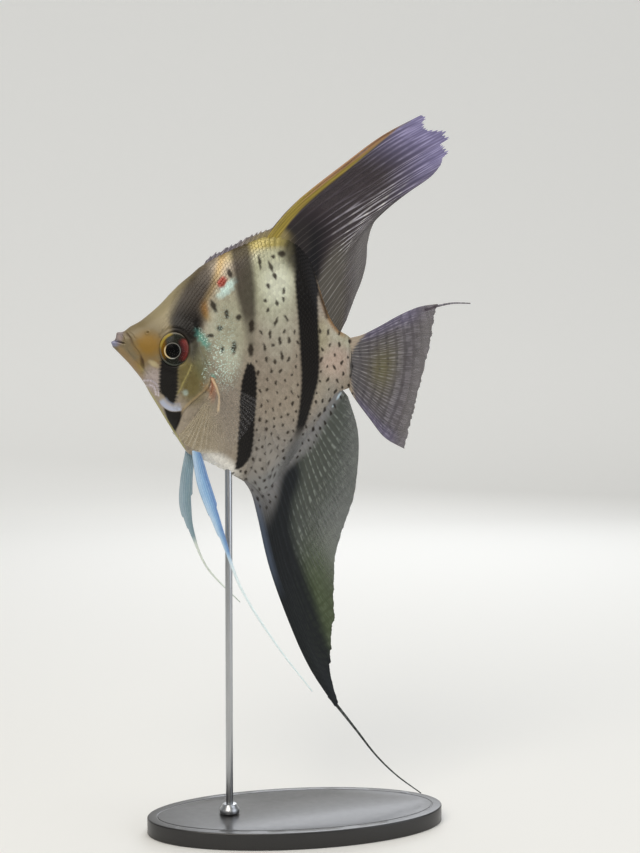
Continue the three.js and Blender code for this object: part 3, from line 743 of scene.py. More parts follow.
# painted cast of thin fish skin with silver under it: a soft wet gloss over a finely pitted face
def skinMaterial():
    material, tree, shader = newMaterial("fishSkin")
    pits = {"Height": grainOf(tree, 0.35 * mm), "Strength": 0.35, "Distance": 0.1 * mm}
    fillInputs(tree, shader, {
        "Base Color": markedColour(tree), "Roughness": 0.42, "Normal": addNode(tree, "Bump", {}, pits),
        **wetGloss(tree, 0.15, 0.3),
    })
    return material


skin = makeSkin()
finish(
    skin, skinMaterial(), "skin",
    "head", "upper_jaw", "lower_jaw", "gill_cover_left", "gill_cover_right", "trunk", "tail_stalk",
)

# coat: small overlapping scales over the skin, each a thin closed plate
coat = {
    "column": 0.76,  # mm between columns; each is half a row off its neighbours
    "row": 1.6,
    "converge": 0.55,  # how far the rows draw together with the body's outline
    "length": 1.16,  # half sizes in mm
    "width": 0.96,
    "sunk": -0.1,  # front edge under the ones before it
    "raised": 0.17,  # rear edge over the next
    "face": 0.78,  # size of the scales next to the bare face, against the rest
    "patch": 0.003,
    "corners": 12,
    "chart": (240, 260),  # stations along the body and shares of the way from its widest line to its outline
    "ease": (48, 18.0),  # stations over which the rows' drawing together is eased
    "jitter": 0.03,
    "firstS": 14.0, "rows": 70, "furthestBend": 6,  # mm that a column may lean
    "parts": 46,  # s where the trunk's scales begin
    "blunt": (0.9, 0.88),  # half length and half width in front, against those behind
    # share of the outline and height of each
    "rings": ((0.48, 0.045), (0.87, 0.028), (1.0, 0.0), (0.97, -0.05)),
    "crown": 0.05, "crownAt": 0.55, "crownLift": 0.006, "under": 0.05,
    "follow": 0.6,  # how far each plate's points turn with the skin
    "darkest": 0.22,
}


def flankChart():  # run over the flank in mm, from the widest line to the edge, by station and share
    along, across = coat["chart"]
    stations, shares = np.linspace(lipS, form["endS"], along), np.linspace(0, 1, across)
    chart = {}
    for up, edge in ((1, back), (-1, belly)):
        reach = np.abs(edge(stations) - widest(stations))[:, None] * unit
        side = fullWidth(stations)[:, None] * unit * edgeShare(shares)[None]
        steps = np.hypot(np.diff(shares)[None] * reach, np.diff(side, axis=1))
        chart[up] = np.concatenate([np.zeros((along, 1)), np.cumsum(steps, 1)], 1) / mm
    return stations, shares, chart


def onFlank(s, share, side):  # height and place of a share of the way from the widest line to the outline
    h = widest(s) + np.where(share > 0, back(s) - widest(s), widest(s) - belly(s)) * share
    return h, place(s, h, side * fullWidth(s) * unit * edgeShare(np.abs(share)))


def scaleRoots():  # s, share of the reach, size and rise of each scale on one flank
    stations, shares, chart = flankChart()
    found = []
    for up in (1, -1):
        full = chart[up][:, -1]
        reach, wide = coat["ease"]
        window = np.exp(-(np.arange(-reach, reach + 1) / wide) ** 2)
        reaches = np.convolve(np.pad(full, reach, "edge"), window / window.sum(), "valid")
        draw = (reaches / reaches.max()) ** coat["converge"]  # row spacing along the body
        bend = np.gradient(np.log(draw), stations * unit / mm)
        s, column = coat["firstS"], 0
        while s < form["endS"]:
            rows = np.arange(coat["rows"])
            first = 0.5 if column % 2 else (0.0 if up > 0 else 1.0)
            level = (rows + first) * coat["row"]
            at = np.full(len(rows), s)
            most = coat["furthestBend"]
            for _ in range(4):  # columns stand square to the rows
                run = level * np.interp(at, stations, draw)
                at = s - np.clip(np.interp(at, stations, bend) * run**2 / 2, -most, most) * mm / unit
            run = level * np.interp(at, stations, draw)
            for a, r in zip(at, run):
                if not 10 < a < form["endS"] - 0.2:
                    continue
                row = chart[up][int(np.argmin(np.abs(stations - a)))]
                if r < row[-1] - 0.15:
                    found.append((a, up * np.interp(r, row, shares), np.interp(a, stations, draw)))
            s += coat["column"] * np.interp(s, stations, draw) * mm / unit
            column += 1
    found = np.array(found)
    found[:, 0] += rng.normal(0, coat["jitter"], len(found))
    s, share = found.T[:2]
    h = onFlank(s, share, 1)[0]
    rear, along = fromLine(s, h, gillEdge)
    groove = (rear > -0.3) & (rear < 0.75) & (along > 0.03) & (along < 0.9)
    kept = (bareness(s, h) < 0.5) & ~groove
    # smaller and flatter next to the bare face
    inside = np.minimum(fromLine(s, h, brow)[0], np.where(s < 34, fromLine(s, h, throat)[0], 9))
    tailward = smooth(form["endS"], 95.5, s)
    found[:, 2] *= lerp(coat["face"], 1, smooth(-0.6, 4, inside)) * lerp(0.75, 1, tailward)
    return np.column_stack([found, lerp(0.25, 1, smooth(0, 9, inside)) * lerp(0.3, 1, tailward)])[kept]


def makeCoat(sideName, tree):
    side = sides[sideName]
    s, share, size, raised = scaleRoots().T
    corners = coat["corners"]
    centre = onFlank(s, share, side)[1]
    # each lies along the body, half way between level and the line of equal share
    along = onFlank(s + 0.5, share, side)[1] - centre
    along[:, 2] *= coat["converge"]
    turns = np.linspace(0, 2 * math.pi, corners, endpoint=False)
    outA = np.cos(turns) * np.where(np.cos(turns) < 0, coat["blunt"][0], 1.0)
    outB = np.sin(turns) * np.where(np.cos(turns) < 0, coat["blunt"][1], 1.0)
    rings = coat["rings"]
    flatA = np.concatenate([[0.0]] + [r * outA for r, _ in rings])
    flatB = np.concatenate([[0.0]] + [r * outB for r, _ in rings])
    crown = np.concatenate([[coat["crown"]]] + [np.full(corners, top) for _, top in rings])
    firstRing, lastRing = 1 + corners, 1 + 3 * corners
    lift = lerp(coat["sunk"], coat["raised"], np.clip(0.5 + 0.5 * flatA, 0, 1)) + crown
    count, each = len(s), len(flatA)
    points = np.empty((count, each, 3))
    for i in range(count):
        spot, normal, _, _ = tree.find_nearest(Vector(centre[i]))
        n = np.array(normal)
        a = along[i] - n * (along[i] @ n)
        a /= np.linalg.norm(a)
        b = np.cross(n, a)
        grow = size[i] * mm
        spread = np.array(spot) + (
            flatA[:, None] * a * coat["length"] + flatB[:, None] * b * coat["width"]
        ) * grow
        for j in (0, *range(firstRing, lastRing)):
            spot, facing, _, _ = tree.find_nearest(Vector(spread[j]))
            spread[j] = np.array(spot) + np.array(
                lerp(n, np.array(facing), coat["follow"])
            ) * lift[j] * grow * raised[i]
        spread[1:firstRing] = lerp(
            spread[0], spread[firstRing : firstRing + corners], coat["crownAt"]
        ) + n * coat["crownLift"] * grow
        spread[lastRing:] = spread[lastRing - corners : lastRing] - n * coat["under"] * grow
        points[i] = spread
    # faces: a crown fan, three rings and the underside
    k = np.arange(corners)
    following = (k + 1) % corners
    middle, inner, outer, under = (1 + i * corners + k for i in range(4))
    fan = np.stack([np.zeros(corners, int), middle, middle[following]], 1)
    quads = np.concatenate([
        np.stack([a, b, b[following], a[following]], 1)
        for a, b in ((middle, inner), (inner, outer), (outer, under))
    ])
    below = np.stack([np.full(corners - 2, under[0]), under[2:], under[1:-1]], 1)
    values = markings((points[..., 0] - mouthX) / unit, (points[..., 2] - mouthZ) / unit, sideName)
    # some are a little darker
    values["tone"] = np.repeat(coat["darkest"] * rng.random(count)[:, None] ** 1.5, each, 1)
    rear = np.broadcast_to(np.clip(0.5 + 0.5 * flatA, 0, 1), (count, each))
    values["rim"] = smooth(0.86, 1, rear)
    # the painted glints show mostly towards each scale's rear
    values["paintedGlint"] = values["paintedGlint"] * np.clip(1.4 * rear, 0, 1)
    # each has its own patch on the unwrap of the skin, at its root
    quarterTurn = np.sign(share) * (
        np.arcsin(np.clip(np.abs(share), 0, 1)) / (math.pi / 2)
    ) ** (1 / skinGrid["crowd"]) / 4
    v = (quarterTurn if side < 0 else 0.5 - quarterTurn) % 1.0
    u = unwrapU(s)
    patch = coat["patch"] / 2
    uv = np.stack([u[:, None] + patch * flatA, v[:, None] + patch * flatB], -1)
    made = []
    for part, chosen in (("head", s < coat["parts"]), ("trunk", s >= coat["parts"])):
        for half, inHalf in (("upper", share >= 0), ("lower", share < 0)):
            pick = np.flatnonzero(chosen & inHalf)
            offset = (np.arange(len(pick)) * each)[:, None, None]
            faces = [
                (quads[None] + offset).reshape(-1, 4),
                (np.concatenate([fan, below])[None] + offset).reshape(-1, 3),
            ]
            piece = buildMesh("scales_%s_%s_%s" % (sideName, part, half), points[pick].reshape(-1, 3), faces)
            giveValues(piece, {name: data[pick].ravel() for name, data in values.items()})
            giveUnwrap(piece, uv[pick].reshape(-1, 2))
            made.append(piece)
    print(sideName, "scales", count)
    return made


# painted thin horn-like plates: pearly gloss, a faint darker rim and a few with painted blue-green and white
# glints
def coatMaterial():
    material, tree, shader = newMaterial("fishScale")
    tone, spread = (addNode(tree, "Attribute", {"attribute_name": k}, {}, "Fac") for k in ("tone", "paintedGlint"))
    darker = {0: tone, 6: markedColour(tree), 7: hexColour("#5d5144")}
    colour = addNode(tree, "Mix", {**tints, "blend_type": "MULTIPLY"}, darker, 2)
    # painted glints: flecks about 0.5 mm across flash blue-green and white between the eye and the pectoral
    # fin
    glintGrain = grainOf(tree, 0.55 * mm, 2)
    for low, tint, most in ((0.51, "#9cc7b8", 0.6), (0.57, "#eef6ea", 0.9)):
        flash = addNode(tree, "MapRange", eased, {"Value": glintGrain, "From Min": low, "From Max": low + 0.05})
        colour = paintMarks(
            tree, colour, [(addNode(tree, "Math", product, {0: flash, 1: spread}), tint, most)]
        )
    fillInputs(tree, shader, {
        "Base Color": paintMarks(tree, colour, [("rim", "#4f463c", 0.2)]), "Roughness": 0.32,
        **wetGloss(tree, 0.3, 0.3),
    })
    return material


scaleFinish = coatMaterial()
skinTree = BVHTree.FromObject(skin, bpy.context.evaluated_depsgraph_get())
for sideName in sides:
    for piece in makeCoat(sideName, skinTree):
        finish(piece, scaleFinish, "skin")

# eyes: an opaque ball with iris and pupil, under a clear dome
eyeParts = {
    "pupil": 2.4,  # radii in mm
    "ring": 2.86,
    "pupilShift": (-0.9, -0.5),  # forward and down, in mm
    # radius, depth, grid
    "iris": ("#12130d", "#30322a"), "ball": (5.9, 3.55, 64, 40), "dome": (5.98, 3.8, 48, 32),
}


def eyeMiddle(side):
    y = halfWidth(eye["s"], eye["h"]) + (eye["stands"] - eye["depth"]) * mm
    return place(eye["s"], eye["h"], side * y)


# glazed glass eye: painted rings seen through a deep gloss
def irisMaterial(side):
    material, tree, shader = newMaterial("paintedIris")
    middle = eyeMiddle(side)
    where = addNode(tree, "TexCoord", {}, {}, "Object")
    # mm from the pupil's middle and from the eye's, and back, up and slanting forward and down from there
    read = {}
    for name, (ahead, up), tall in (("pupil", eyeParts["pupilShift"], 1), ("eye", (0, 0), eye["tall"])):
        centre = (-middle[0] / mm - ahead, 0, (-middle[2] / mm - up) / tall)
        moved = addNode(
            tree, "Mapping", {}, {"Vector": where, "Location": centre, "Scale": (1 / mm, 0, 1 / mm / tall)}
        )
        read[name] = addNode(tree, "VectorMath", {"operation": "LENGTH"}, {0: moved}, "Value")
    read["back"] = addNode(tree, "SeparateXYZ", {}, {0: moved}, "X")
    read["up"] = read["back"].node.outputs["Z"]
    for name, way in (("slant", (-0.94, 0, -0.34)), ("low", (-0.34, 0, -0.94))):
        centre = (-middle[0] / mm - eyeParts["pupilShift"][0], 0, -middle[2] / mm - eyeParts["pupilShift"][1])
        moved = addNode(
            tree, "Mapping", {}, {"Vector": where, "Location": centre, "Scale": (1 / mm, 0, 1 / mm)}
        )
        read[name] = addNode(tree, "VectorMath", {"operation": "DOT_PRODUCT"}, {0: moved, 1: way}, "Value")
    read["broken"] = grainOf(tree, 1.1 * mm)
    pupil, ring = eyeParts["pupil"], eyeParts["ring"]
    layers = [  # tint, strength, and what it fades in by: the reading, where it is clear and where it is full
        ("#7a5614", 0.9, [("back", -2.5, -4.0), ("eye", 6.0, 4.9), ("up", 4.2, 2.0), ("up", -4.2, -2.4)]),
        ("#4c1a1a", 0.9, [
            ("pupil", ring - 0.1, ring + 0.7), ("back", 0.6, 2.2), ("up", -4.4, -2.6), ("up", 3.6, 2.2),
        ]),
        ("#7e332c", 0.95, [
            ("pupil", ring + 0.5, 5.2), ("back", 1.6, 3.2), ("up", -4.4, -2.6), ("up", 3.8, 2.4),
        ]),
        # a painted pinkish highlight along the red's outer edge, behind the pupil
        ("#b58478", 0.4, [
            ("eye", 4.1, 4.6), ("eye", 5.2, 4.9), ("back", 2.6, 3.8), ("up", 3.6, 2.0), ("up", -2.4, -0.6),
        ]),
        ("#70746a", 0.75, [("eye", 4.72, 4.9), ("eye", 5.4, 5.15), ("up", 4.5, -3.0)]),
        ("#928d80", 0.6, [("eye", 4.75, 5.0), ("up", 2.4, 4.2), ("back", 4.0, 2.6)]),
        ("#b09a46", 0.8, [("eye", 4.3, 4.75), ("eye", 5.5, 5.2), ("back", 0.0, -2.2), ("up", -0.5, 2.0)]),
        ("#96928c", 0.7, [
            ("pupil", ring - 0.36, ring - 0.24), ("pupil", ring, ring - 0.12), ("broken", 0.25, 0.4),
        ]),
        # the pupil's pale ring, with painted highlights: white below and cream towards the front
        ("#dcdcd6", 0.9, [
            ("pupil", pupil + 0.1, pupil + 0.24), ("pupil", ring + 0.06, ring - 0.08), ("low", 2.0, 2.5),
        ]),
        ("#e6d2a2", 1, [
            ("pupil", pupil, pupil + 0.1), ("pupil", ring + 0.1, ring - 0.04), ("slant", 1.2, 2.2),
        ]),
        ("#040404", 1, [("pupil", pupil + 0.06, pupil - 0.06)]),
    ]
    colour = paintGrain(tree, grainOf(tree, 0.5 * mm, 4), *eyeParts["iris"])
    for tint, most, fades in layers:
        share = most
        for name, clear, full in fades:
            fade = addNode(
                tree, "MapRange", eased, {"Value": read[name], "From Min": clear, "From Max": full}
            )
            share = addNode(tree, "Math", product, {0: share, 1: fade})
        colour = addNode(tree, "Mix", tints, {0: share, 6: colour, 7: hexColour(tint)}, 2)
    fillInputs(tree, shader, {"Base Color": colour, "Roughness": 0.35, "Specular IOR Level": 0.08})
    return material


# clear acrylic dome: only its gloss shows
def domeMaterial():
    material, tree, shader = newMaterial("clearDome")
    tree.nodes.remove(shader)
    gloss = addNode(tree, "BsdfGlossy", {}, {"Roughness": 0.2})
    clear = addNode(tree, "BsdfTransparent", {}, {})
    fresnel = addNode(tree, "Fresnel", {}, {"IOR": 1.14})
    both = addNode(tree, "MixShader", {}, {0: fresnel, 1: clear, 2: gloss})
    tree.links.new(both, tree.nodes["Material Output"].inputs["Surface"])
    return material


def makeBall(name, side, radius, depth, segments, ringCount):
    bpy.ops.object.select_all(action="DESELECT")
    bpy.ops.mesh.primitive_uv_sphere_add(
        segments=segments, ring_count=ringCount, radius=1, location=eyeMiddle(side),
        rotation=(math.pi / 2, 0, 0)
    )
    ball = bpy.context.object
    ball.name = ball.data.name = name
    ball.scale = (radius * mm, eye["tall"] * radius * mm, depth * mm)
    bpy.ops.object.transform_apply(location=True, rotation=True, scale=True)
    bpy.ops.object.shade_smooth()
    return ball


dome = domeMaterial()
for sideName, side in sides.items():
    ball = makeBall("eye_%s_ball" % sideName, side, *eyeParts["ball"])
    # the lens bulges a little out of the pupil
    points = np.array([v.co for v in ball.data.vertices])
    shift = (points - eyeMiddle(side)) / mm
    away = np.hypot(shift[:, 0] - eyeParts["pupilShift"][0], shift[:, 2] - eyeParts["pupilShift"][1])
    outer = shift[:, 1] * side > 0
    points[:, 1] += side * np.where(outer, 0.16 * smooth(2.5, 0.8, away), 0) * mm
    ball.data.vertices.foreach_set("co", points.astype(np.float32).ravel())
    finish(ball, irisMaterial(side), "eye", "eye_" + sideName)
    finish(makeBall("eye_%s_dome" % sideName, side, *eyeParts["dome"]), dome, "eye")
print("eyes ready")

# fins: thin webs between four edges, with branching rays standing proud on both faces


def patchOf(spec):
    root, lead, rear, margin = (line(spec[k]) for k in ("root", "lead", "rear", "margin"))
    hold = spec.get("hold", 1.8)  # how soon the rays run straight, away from the curved edges

    def at(u, v):
        first = lead(v) - (1 - v) * root(0.0)[:, None, None] - v * margin(0.0)[:, None, None]
        last = rear(v) - (1 - v) * root(1.0)[:, None, None] - v * margin(1.0)[:, None, None]
        return (1 - v) * root(u) + v * margin(u) + (1 - u) ** hold * first + u**hold * last

    return at


def rayRidge(cell, v, splits, slim):  # height of the rays' branches over the web, 0 to 1
    f = cell % 1.0
    first = 0.25 * smooth(splits[0] - 0.12, splits[0] + 0.12, v)
    second = 0.125 * smooth(splits[1] - 0.1, splits[1] + 0.1, v)
    height = np.zeros(np.shape(f))
    for a in (-1, 1):
        for b in (-1, 1):
            middle = 0.5 + a * first + b * second
            height = np.maximum(height, np.exp(-(((f - middle) / slim) ** 2)))
    return height


def finShow(spec, ridge, masks):  # how much of the rays' own tint shows, and how solid the fin is
    show = ridge**1.6 * spec.get("boneShare", 0.85)
    for name, most in spec.get("hideBone", ()):
        show = show * (1 - most * masks[name])
    low, high = spec["solid"]
    solid = low + (high - low) * ridge
    for name, change in spec.get("solidMasks", ()):
        solid = solid + change * masks[name]
    return {"show": show, "solid": np.clip(solid, 0, 1)}


def makeFin(name, spec, extras=()):
    rays = spec["rays"]
    u0 = np.linspace(0, 1, rays * spec["perRay"] + 1)
    u, v = np.meshgrid(u0, np.linspace(0, 1, spec["steps"] + 1), indexing="ij")
    jitter = rng.uniform(-0.22, 0.22, rays + 1)
    jitter[[0, -1]] = 0
    cell = np.interp(u, np.arange(rays + 1) / rays, np.arange(rays + 1) + jitter)
    ridge = rayRidge(cell, v, spec["splits"], spec["slim"])
    # the web falls back between the ray tips, and some rays are shorter than others
    endRidge = rayRidge(cell[:, -1], 1.0, spec["splits"], spec["slim"])
    worn = np.interp(u0 * rays * 3, np.arange(3 * rays + 1), rng.random(3 * rays + 1))
    ragged = spec["ragged"](u0) if callable(spec["ragged"]) else spec["ragged"]
    reach = 1 - ragged * (0.7 * worn + 0.3 * (1 - endRidge))
    vReal = v * reach[:, None]
    flat = patchOf(spec)(u, vReal)
    s, h = flat
    half = lerp(spec["thick"], spec["edge"], vReal**0.6) / 2 * (0.72 + 0.28 * ridge) * mm
    wave = spec["wave"] * np.sin(spec["waves"] * 2 * math.pi * u + 3.1 * v + spec.get("phase", 0)) * v
    middle = spec["lean"](u, vReal) * mm + wave * mm
    points = [place(s, h, middle + face * half).reshape(-1, 3) for face in (-1, 1)]
    per = u.size
    index = np.arange(per).reshape(u.shape)
    a, b, c, d = index[:-1, :-1], index[1:, :-1], index[1:, 1:], index[:-1, 1:]
    front = np.stack([a, b, c, d], -1).reshape(-1, 4)
    rearFaces = per + front[:, ::-1]
    loop = np.concatenate([index[:, 0], index[-1, 1:], index[-2::-1, -1], index[0, -2:0:-1]])
    following = np.roll(loop, -1)
    wall = np.stack([following, loop, loop + per, following + per], -1)
    length = np.linalg.norm(np.diff(place(s, h), axis=1), axis=-1)
    along = np.concatenate([np.zeros((len(u0), 1)), np.cumsum(length, 1)], 1) / mm
    values = {name: np.clip(mask, 0, 1) for name, mask in spec["masks"](u, vReal, s, h).items()}
    values.update(finShow(spec, ridge, values))
    values.update({"across": cell, "along": along})
    values = {name: np.tile(np.broadcast_to(data, u.shape).ravel(), 2) for name, data in values.items()}
    uv = np.concatenate(
        [np.stack([left + 0.48 * u.ravel(), 0.01 + 0.98 * v.ravel()], -1) for left in (0.01, 0.51)]
    )
    points = np.concatenate(points)
    quads = np.concatenate([front, rearFaces, wall])
    for strandPoints, strandQuads, strandValues in extras:
        shift = len(points)
        points = np.concatenate([points, strandPoints])
        quads = np.concatenate([quads, strandQuads + shift])
        for key in values:
            data = strandValues.get(key, 0.0)
            values[key] = np.concatenate([values[key], np.broadcast_to(data, len(strandPoints))])
        uv = np.concatenate([uv, strandValues["uv"]])
    piece = buildMesh(name, points, [quads])
    giveValues(piece, values)
    giveUnwrap(piece, uv)
    return piece


def alongKnots(knots, steps):  # of a (share, s, h, mm aside) way: shares, mm aside and points beside it
    t = np.linspace(0, 1, steps + 1)
    way = line([k[:3] for k in knots])
    s, h = way(t)
    ds, dh = way(np.minimum(t + 0.01, 1)) - way(np.maximum(t - 0.01, 0))
    run = np.hypot(ds, dh)
    beside = lambda out, y: place(
        s[:, None] - out * (dh / run)[:, None], h[:, None] + out * (ds / run)[:, None], y
    )
    return t, through([(k[0], k[3]) for k in knots])(t)[:, None], beside


def tubeQuads(index, shift):  # rings joined along and closed at both ends
    around, caps = index.shape[1], []
    for ring, order in ((index[0], 1), (index[-1], -1)):
        for k in range(around // 2 - 1):
            cap = [ring[k], ring[(-k - shift) % around], ring[(-k - shift - 1) % around], ring[k + 1]]
            if len(set(cap)) == 4:
                caps.append(cap[::order])
    return np.concatenate([ringQuads(index), np.array(caps)])


def strand(knots, width, thick, steps=60, **values):  # a tapering closed thread
    around = 8
    t, aside, beside = alongKnots(knots, steps)
    a = 2 * math.pi * (np.arange(around) + 0.5) / around
    out = np.cos(a) * width(t)[:, None] / 2 * mm / unit
    flat = beside(out, aside * mm + np.sin(a) * thick(t)[:, None] / 2 * mm).reshape(-1, 3)
    where = np.broadcast_to(np.array([0.995, 0.5]), (len(flat), 2))
    given = {"show": 1.0, "solid": 1.0, "along": np.repeat(t * 60, around), "across": 0.5, "uv": where}
    given.update(
        {name: np.repeat(value(t), around) if callable(value) else value for name, value in values.items()}
    )
    return flat, tubeQuads(np.arange(len(flat)).reshape(-1, around), 1), given


# cast resin web, clearer between its rays, with paler rays and a low satin gloss
def finMaterial(name, spec):
    material, tree, shader = newMaterial(name)
    show, across, along = (
        addNode(tree, "Attribute", {"attribute_name": k}, {}, "Fac") for k in ("show", "across", "along")
    )
    web = paintMarks(
        tree, paintGrain(tree, grainOf(tree, spec["cloud"] * mm), *spec["web"]), spec.get("webMasks", ())
    )
    bone = paintMarks(tree, hexColour(spec["bone"]), spec.get("boneMasks", ()))
    # streaks along the rays, as pigment lies between them
    flow = addNode(tree, "CombineXYZ", {}, {0: across, 1: along})
    flow = addNode(tree, "Mapping", {}, {"Vector": flow, "Scale": (2.3, 1 / spec["streak"], 1)})
    streak = addNode(
        tree, "TexNoise", {}, {"Vector": flow, "Scale": 1.0, "Detail": 4.0, "Roughness": 0.6}, "Fac"
    )
    # joints break the rays into dashes, in step with their neighbours'
    drift = {0: along, 1: 2 * math.pi / spec["joint"], 2: grainOf(tree, 12 * mm)}
    drift = addNode(tree, "Math", {"operation": "MULTIPLY_ADD"}, drift)
    wave = addNode(tree, "Math", {"operation": "SINE"}, {0: drift})
    share = show
    for value, low, high, start, end in (
        (streak, 0.4, 0.6, spec["faint"], 1.0), (wave, 0.1, 0.9, 1.0, spec["gap"])
    ):
        fade = {"Value": value, "From Min": low, "From Max": high, "To Min": start, "To Max": end}
        share = addNode(tree, "Math", product, {0: share, 1: addNode(tree, "MapRange", eased, fade)})
    colour = addNode(tree, "Mix", tints, {0: share, 6: web, 7: bone}, 2)
    fillInputs(tree, shader, {
        "Base Color": paintMarks(tree, colour, spec.get("over", ())), "Roughness": spec.get("rough", 0.5),
        "Specular IOR Level": 0.22,
    })
    if "solid" in spec:
        solid = addNode(tree, "Attribute", {"attribute_name": "solid"}, {}, "Fac")
        fillInputs(tree, shader, {"Alpha": solid})
    return material


def leadBand(off, widths, u, v):  # 1 within so many mm of the leading edge
    wide = through(widths)(v)
    return smooth(wide + 0.5, wide - 0.35, np.abs(off)) * smooth(0.5, 0.3, u)


def dorsalMasks(u, v, s, h):
    off = fromLine(s, h, [k[1:] for k in dorsal["lead"]])[0]
    gold, pink, membrane = (
        leadBand(off, dorsal[k], u, v) for k in ("goldWidths", "pinkWidths", "membraneWidths")
    )
    foot = smooth(0.3, 0.08, v + 0.25 * np.abs(u - 0.2)) * smooth(0.03, 0.1, u) * smooth(0.46, 0.36, u)
    beads = smooth(0.5, 1, np.sin(2 * math.pi * (8 * v + 1.6 * u)))
    return {
        "gold": gold * (1 - membrane),
        "membrane": membrane,  # dusky web of the last spines, outside the gold
        "goldGaps": smooth(0.2, 1, np.sin(2 * math.pi * off / 0.95)) * gold * smooth(0.9, 0.4, v),
        "pinkGold": pink,
        "redGold": gold * smooth(0.72, 0.88, v),
        "plain": smooth(0.22, 0.1, u) * smooth(0.75, 0.5, v),
        "knots": beads * smooth(0.18, 0.28, u) * smooth(0.52, 0.44, u)
        * smooth(0.16, 0.3, v) * smooth(0.85, 0.6, v),
        "flank": smooth(4.2, 0.4, h - back(s)) * smooth(78, 72, s),
        "shoulder": blob(s, h, 78, 42, 4.8, 8.5, 0.1, 0.5),
        "tip": smooth(0.55, 0.95, v) * smooth(0.36, 0.2, u),
        "bright": smooth(0.16, 0.26, u) * smooth(0.5, 0.4, u) * smooth(0.18, 0.34, v) * smooth(0.8, 0.55, v),
        "dark": np.maximum(foot, blob(s, h, 82.2, 34, 4.6, 11.5, -0.12, 0.25)),
        "mist": np.maximum(
            smooth(0.36, 0.5, u) * smooth(0.72, 0.3, v), blob(s, h, 92.5, 28, 5.5, 13, 0.3, 0.5)
        ),
        "thin": smooth(0.3, 0.5, u) * smooth(0.3, 0.9, v),
    }


dorsal = {
    "root": [
        (0, 62.5, 40.5), (0.07, 68.5, 41), (0.14, 74, 40), (0.26, 79.5, 36), (0.5, 86, 22.5), (0.75, 91, 8),
        (1, 95, 2),
    ],
    "lead": [
        (0, 62.5, 40.5), (0.07, 66.6, 46.6), (0.12, 69.6, 50.3), (0.16, 72.4, 53.5), (0.26, 79.4, 60.2),
        (0.5, 95.4, 72.8), (0.75, 113, 85.9), (1, 130.2, 95.2),
    ],
    "hold": 6.0,
    "rear": [(0, 95, 2), (1, 97.8, 8.4)],
    "margin": [
        (0, 130.2, 95.2), (0.025, 132.8, 94), (0.045, 131.8, 92.2), (0.07, 136.1, 91), (0.105, 141.2, 89.2),
        (0.135, 144.8, 87.3), (0.16, 142.6, 85.2), (0.2, 143, 81), (0.245, 140, 76.5), (0.29, 134.8, 69.8),
        (0.36, 126, 63.5), (0.42, 119.7, 59), (0.49, 113.6, 54), (0.54, 109.6, 49.4), (0.62, 107, 41.5),
        (0.72, 106.2, 33), (0.8, 104.2, 25.2), (0.88, 101.5, 18.5), (1, 97.8, 8.4),
    ],
    "rays": 28, "perRay": 14, "steps": 84, "splits": (0.42, 0.86), "slim": 0.1,
    "thick": 1.5, "edge": 0.42,
    "ragged": lambda u: 0.085 * smooth(0.27, 0.18, u) * smooth(0, 0.03, u) + 0.014,
    "lean": lambda u, v: -2.5 * v * v, "wave": 0.5, "waves": 1.6,
    "web": ("#2a2328", "#3b3235"), "bone": "#8d8893", "cloud": 6, "faint": 0.3, "boneShare": 0.95,
    "streak": 14, "joint": 9.5, "gap": 0.72,  # mm along the rays, and how faint the joints are
    "webMasks": [("mist", "#58544c", 0.8), ("tip", "#77729a", 0.8), ("thin", "#3b322a", 0.6)],
    "boneMasks": [
        ("bright", "#d2cfd8", 1.0), ("tip", "#aaa4cc", 1.0), ("mist", "#8c8a83", 0.8),
        ("knots", "#f2f0f0", 1.0),
    ],
    "hideBone": [("dark", 1.0), ("thin", 0.6), ("plain", 0.85)],
    "over": [
        ("dark", "#121115", 0.97), ("membrane", "#54484a", 0.8), ("flank", "#948658", 0.8),
        ("shoulder", "#2b2626", 0.7), ("gold", "#9a8839", 0.9), ("pinkGold", "#a07a5c", 0.9),
        ("redGold", "#6d4a3c", 0.8), ("goldGaps", "#5f5228", 0.55),
    ],
    "solid": (0.86, 1.0), "solidMasks": [("thin", -0.3), ("dark", 0.4), ("gold", 0.4)], "masks": dorsalMasks,
    # mm from the leading edge, by the share along it
    "goldWidths": [
        (0, 4.0), (0.13, 3.3), (0.35, 2.6), (0.5, 2.4), (0.65, 1.9), (0.76, 1.1), (0.84, 0.1), (0.88, -0.6),
        (1, -0.6),
    ],
    "pinkWidths": [
        (0, -0.6), (0.2, -0.2), (0.26, 0.4), (0.36, 1.0), (0.5, 1.3), (0.65, 1.6), (0.76, 1.1), (0.84, 0.1),
        (0.88, -0.6), (1, -0.6),
    ],
    "membraneWidths": [(0, 0.9), (0.1, 0.9), (0.2, 0.4), (0.27, -0.6), (1, -0.6)],
}


def tailMasks(u, v, s, h):
    rays = 2 * math.pi * tail["rays"] * u
    ladder = smooth(
        0.5, 1, np.sin(2 * math.pi * (v * 8.5 + 0.3 * np.sin(9 * u)))
    ) * smooth(0.05, 0.12, v) * smooth(1, 0.6, v)
    patchy = 0.35 + 0.65 * smooth(-0.6, 0.7, np.sin(23 * u + 9 * v) + 0.7 * np.sin(13 * u - 17 * v))
    return {
        "skinLike": smooth(0.9, -0.9, s - tailRootEdge(h) + 0.4 * np.sin(rays)),
        "spot": spots(s, h, "left"),
        "ladder": ladder * (0.5 + 0.5 * np.cos(rays)) * patchy,
        "rootMark": smooth(0.3, 0.08, v),
        "edges": np.maximum(smooth(0.16, 0.02, u), smooth(0.86, 0.98, u)) * smooth(0.05, 0.2, v),
        "yellow": np.exp(-(((u - 0.46) / 0.24) ** 2) - ((v - 0.45) / 0.2) ** 2),
        "thin": smooth(0.66, 0.95, v),
    }


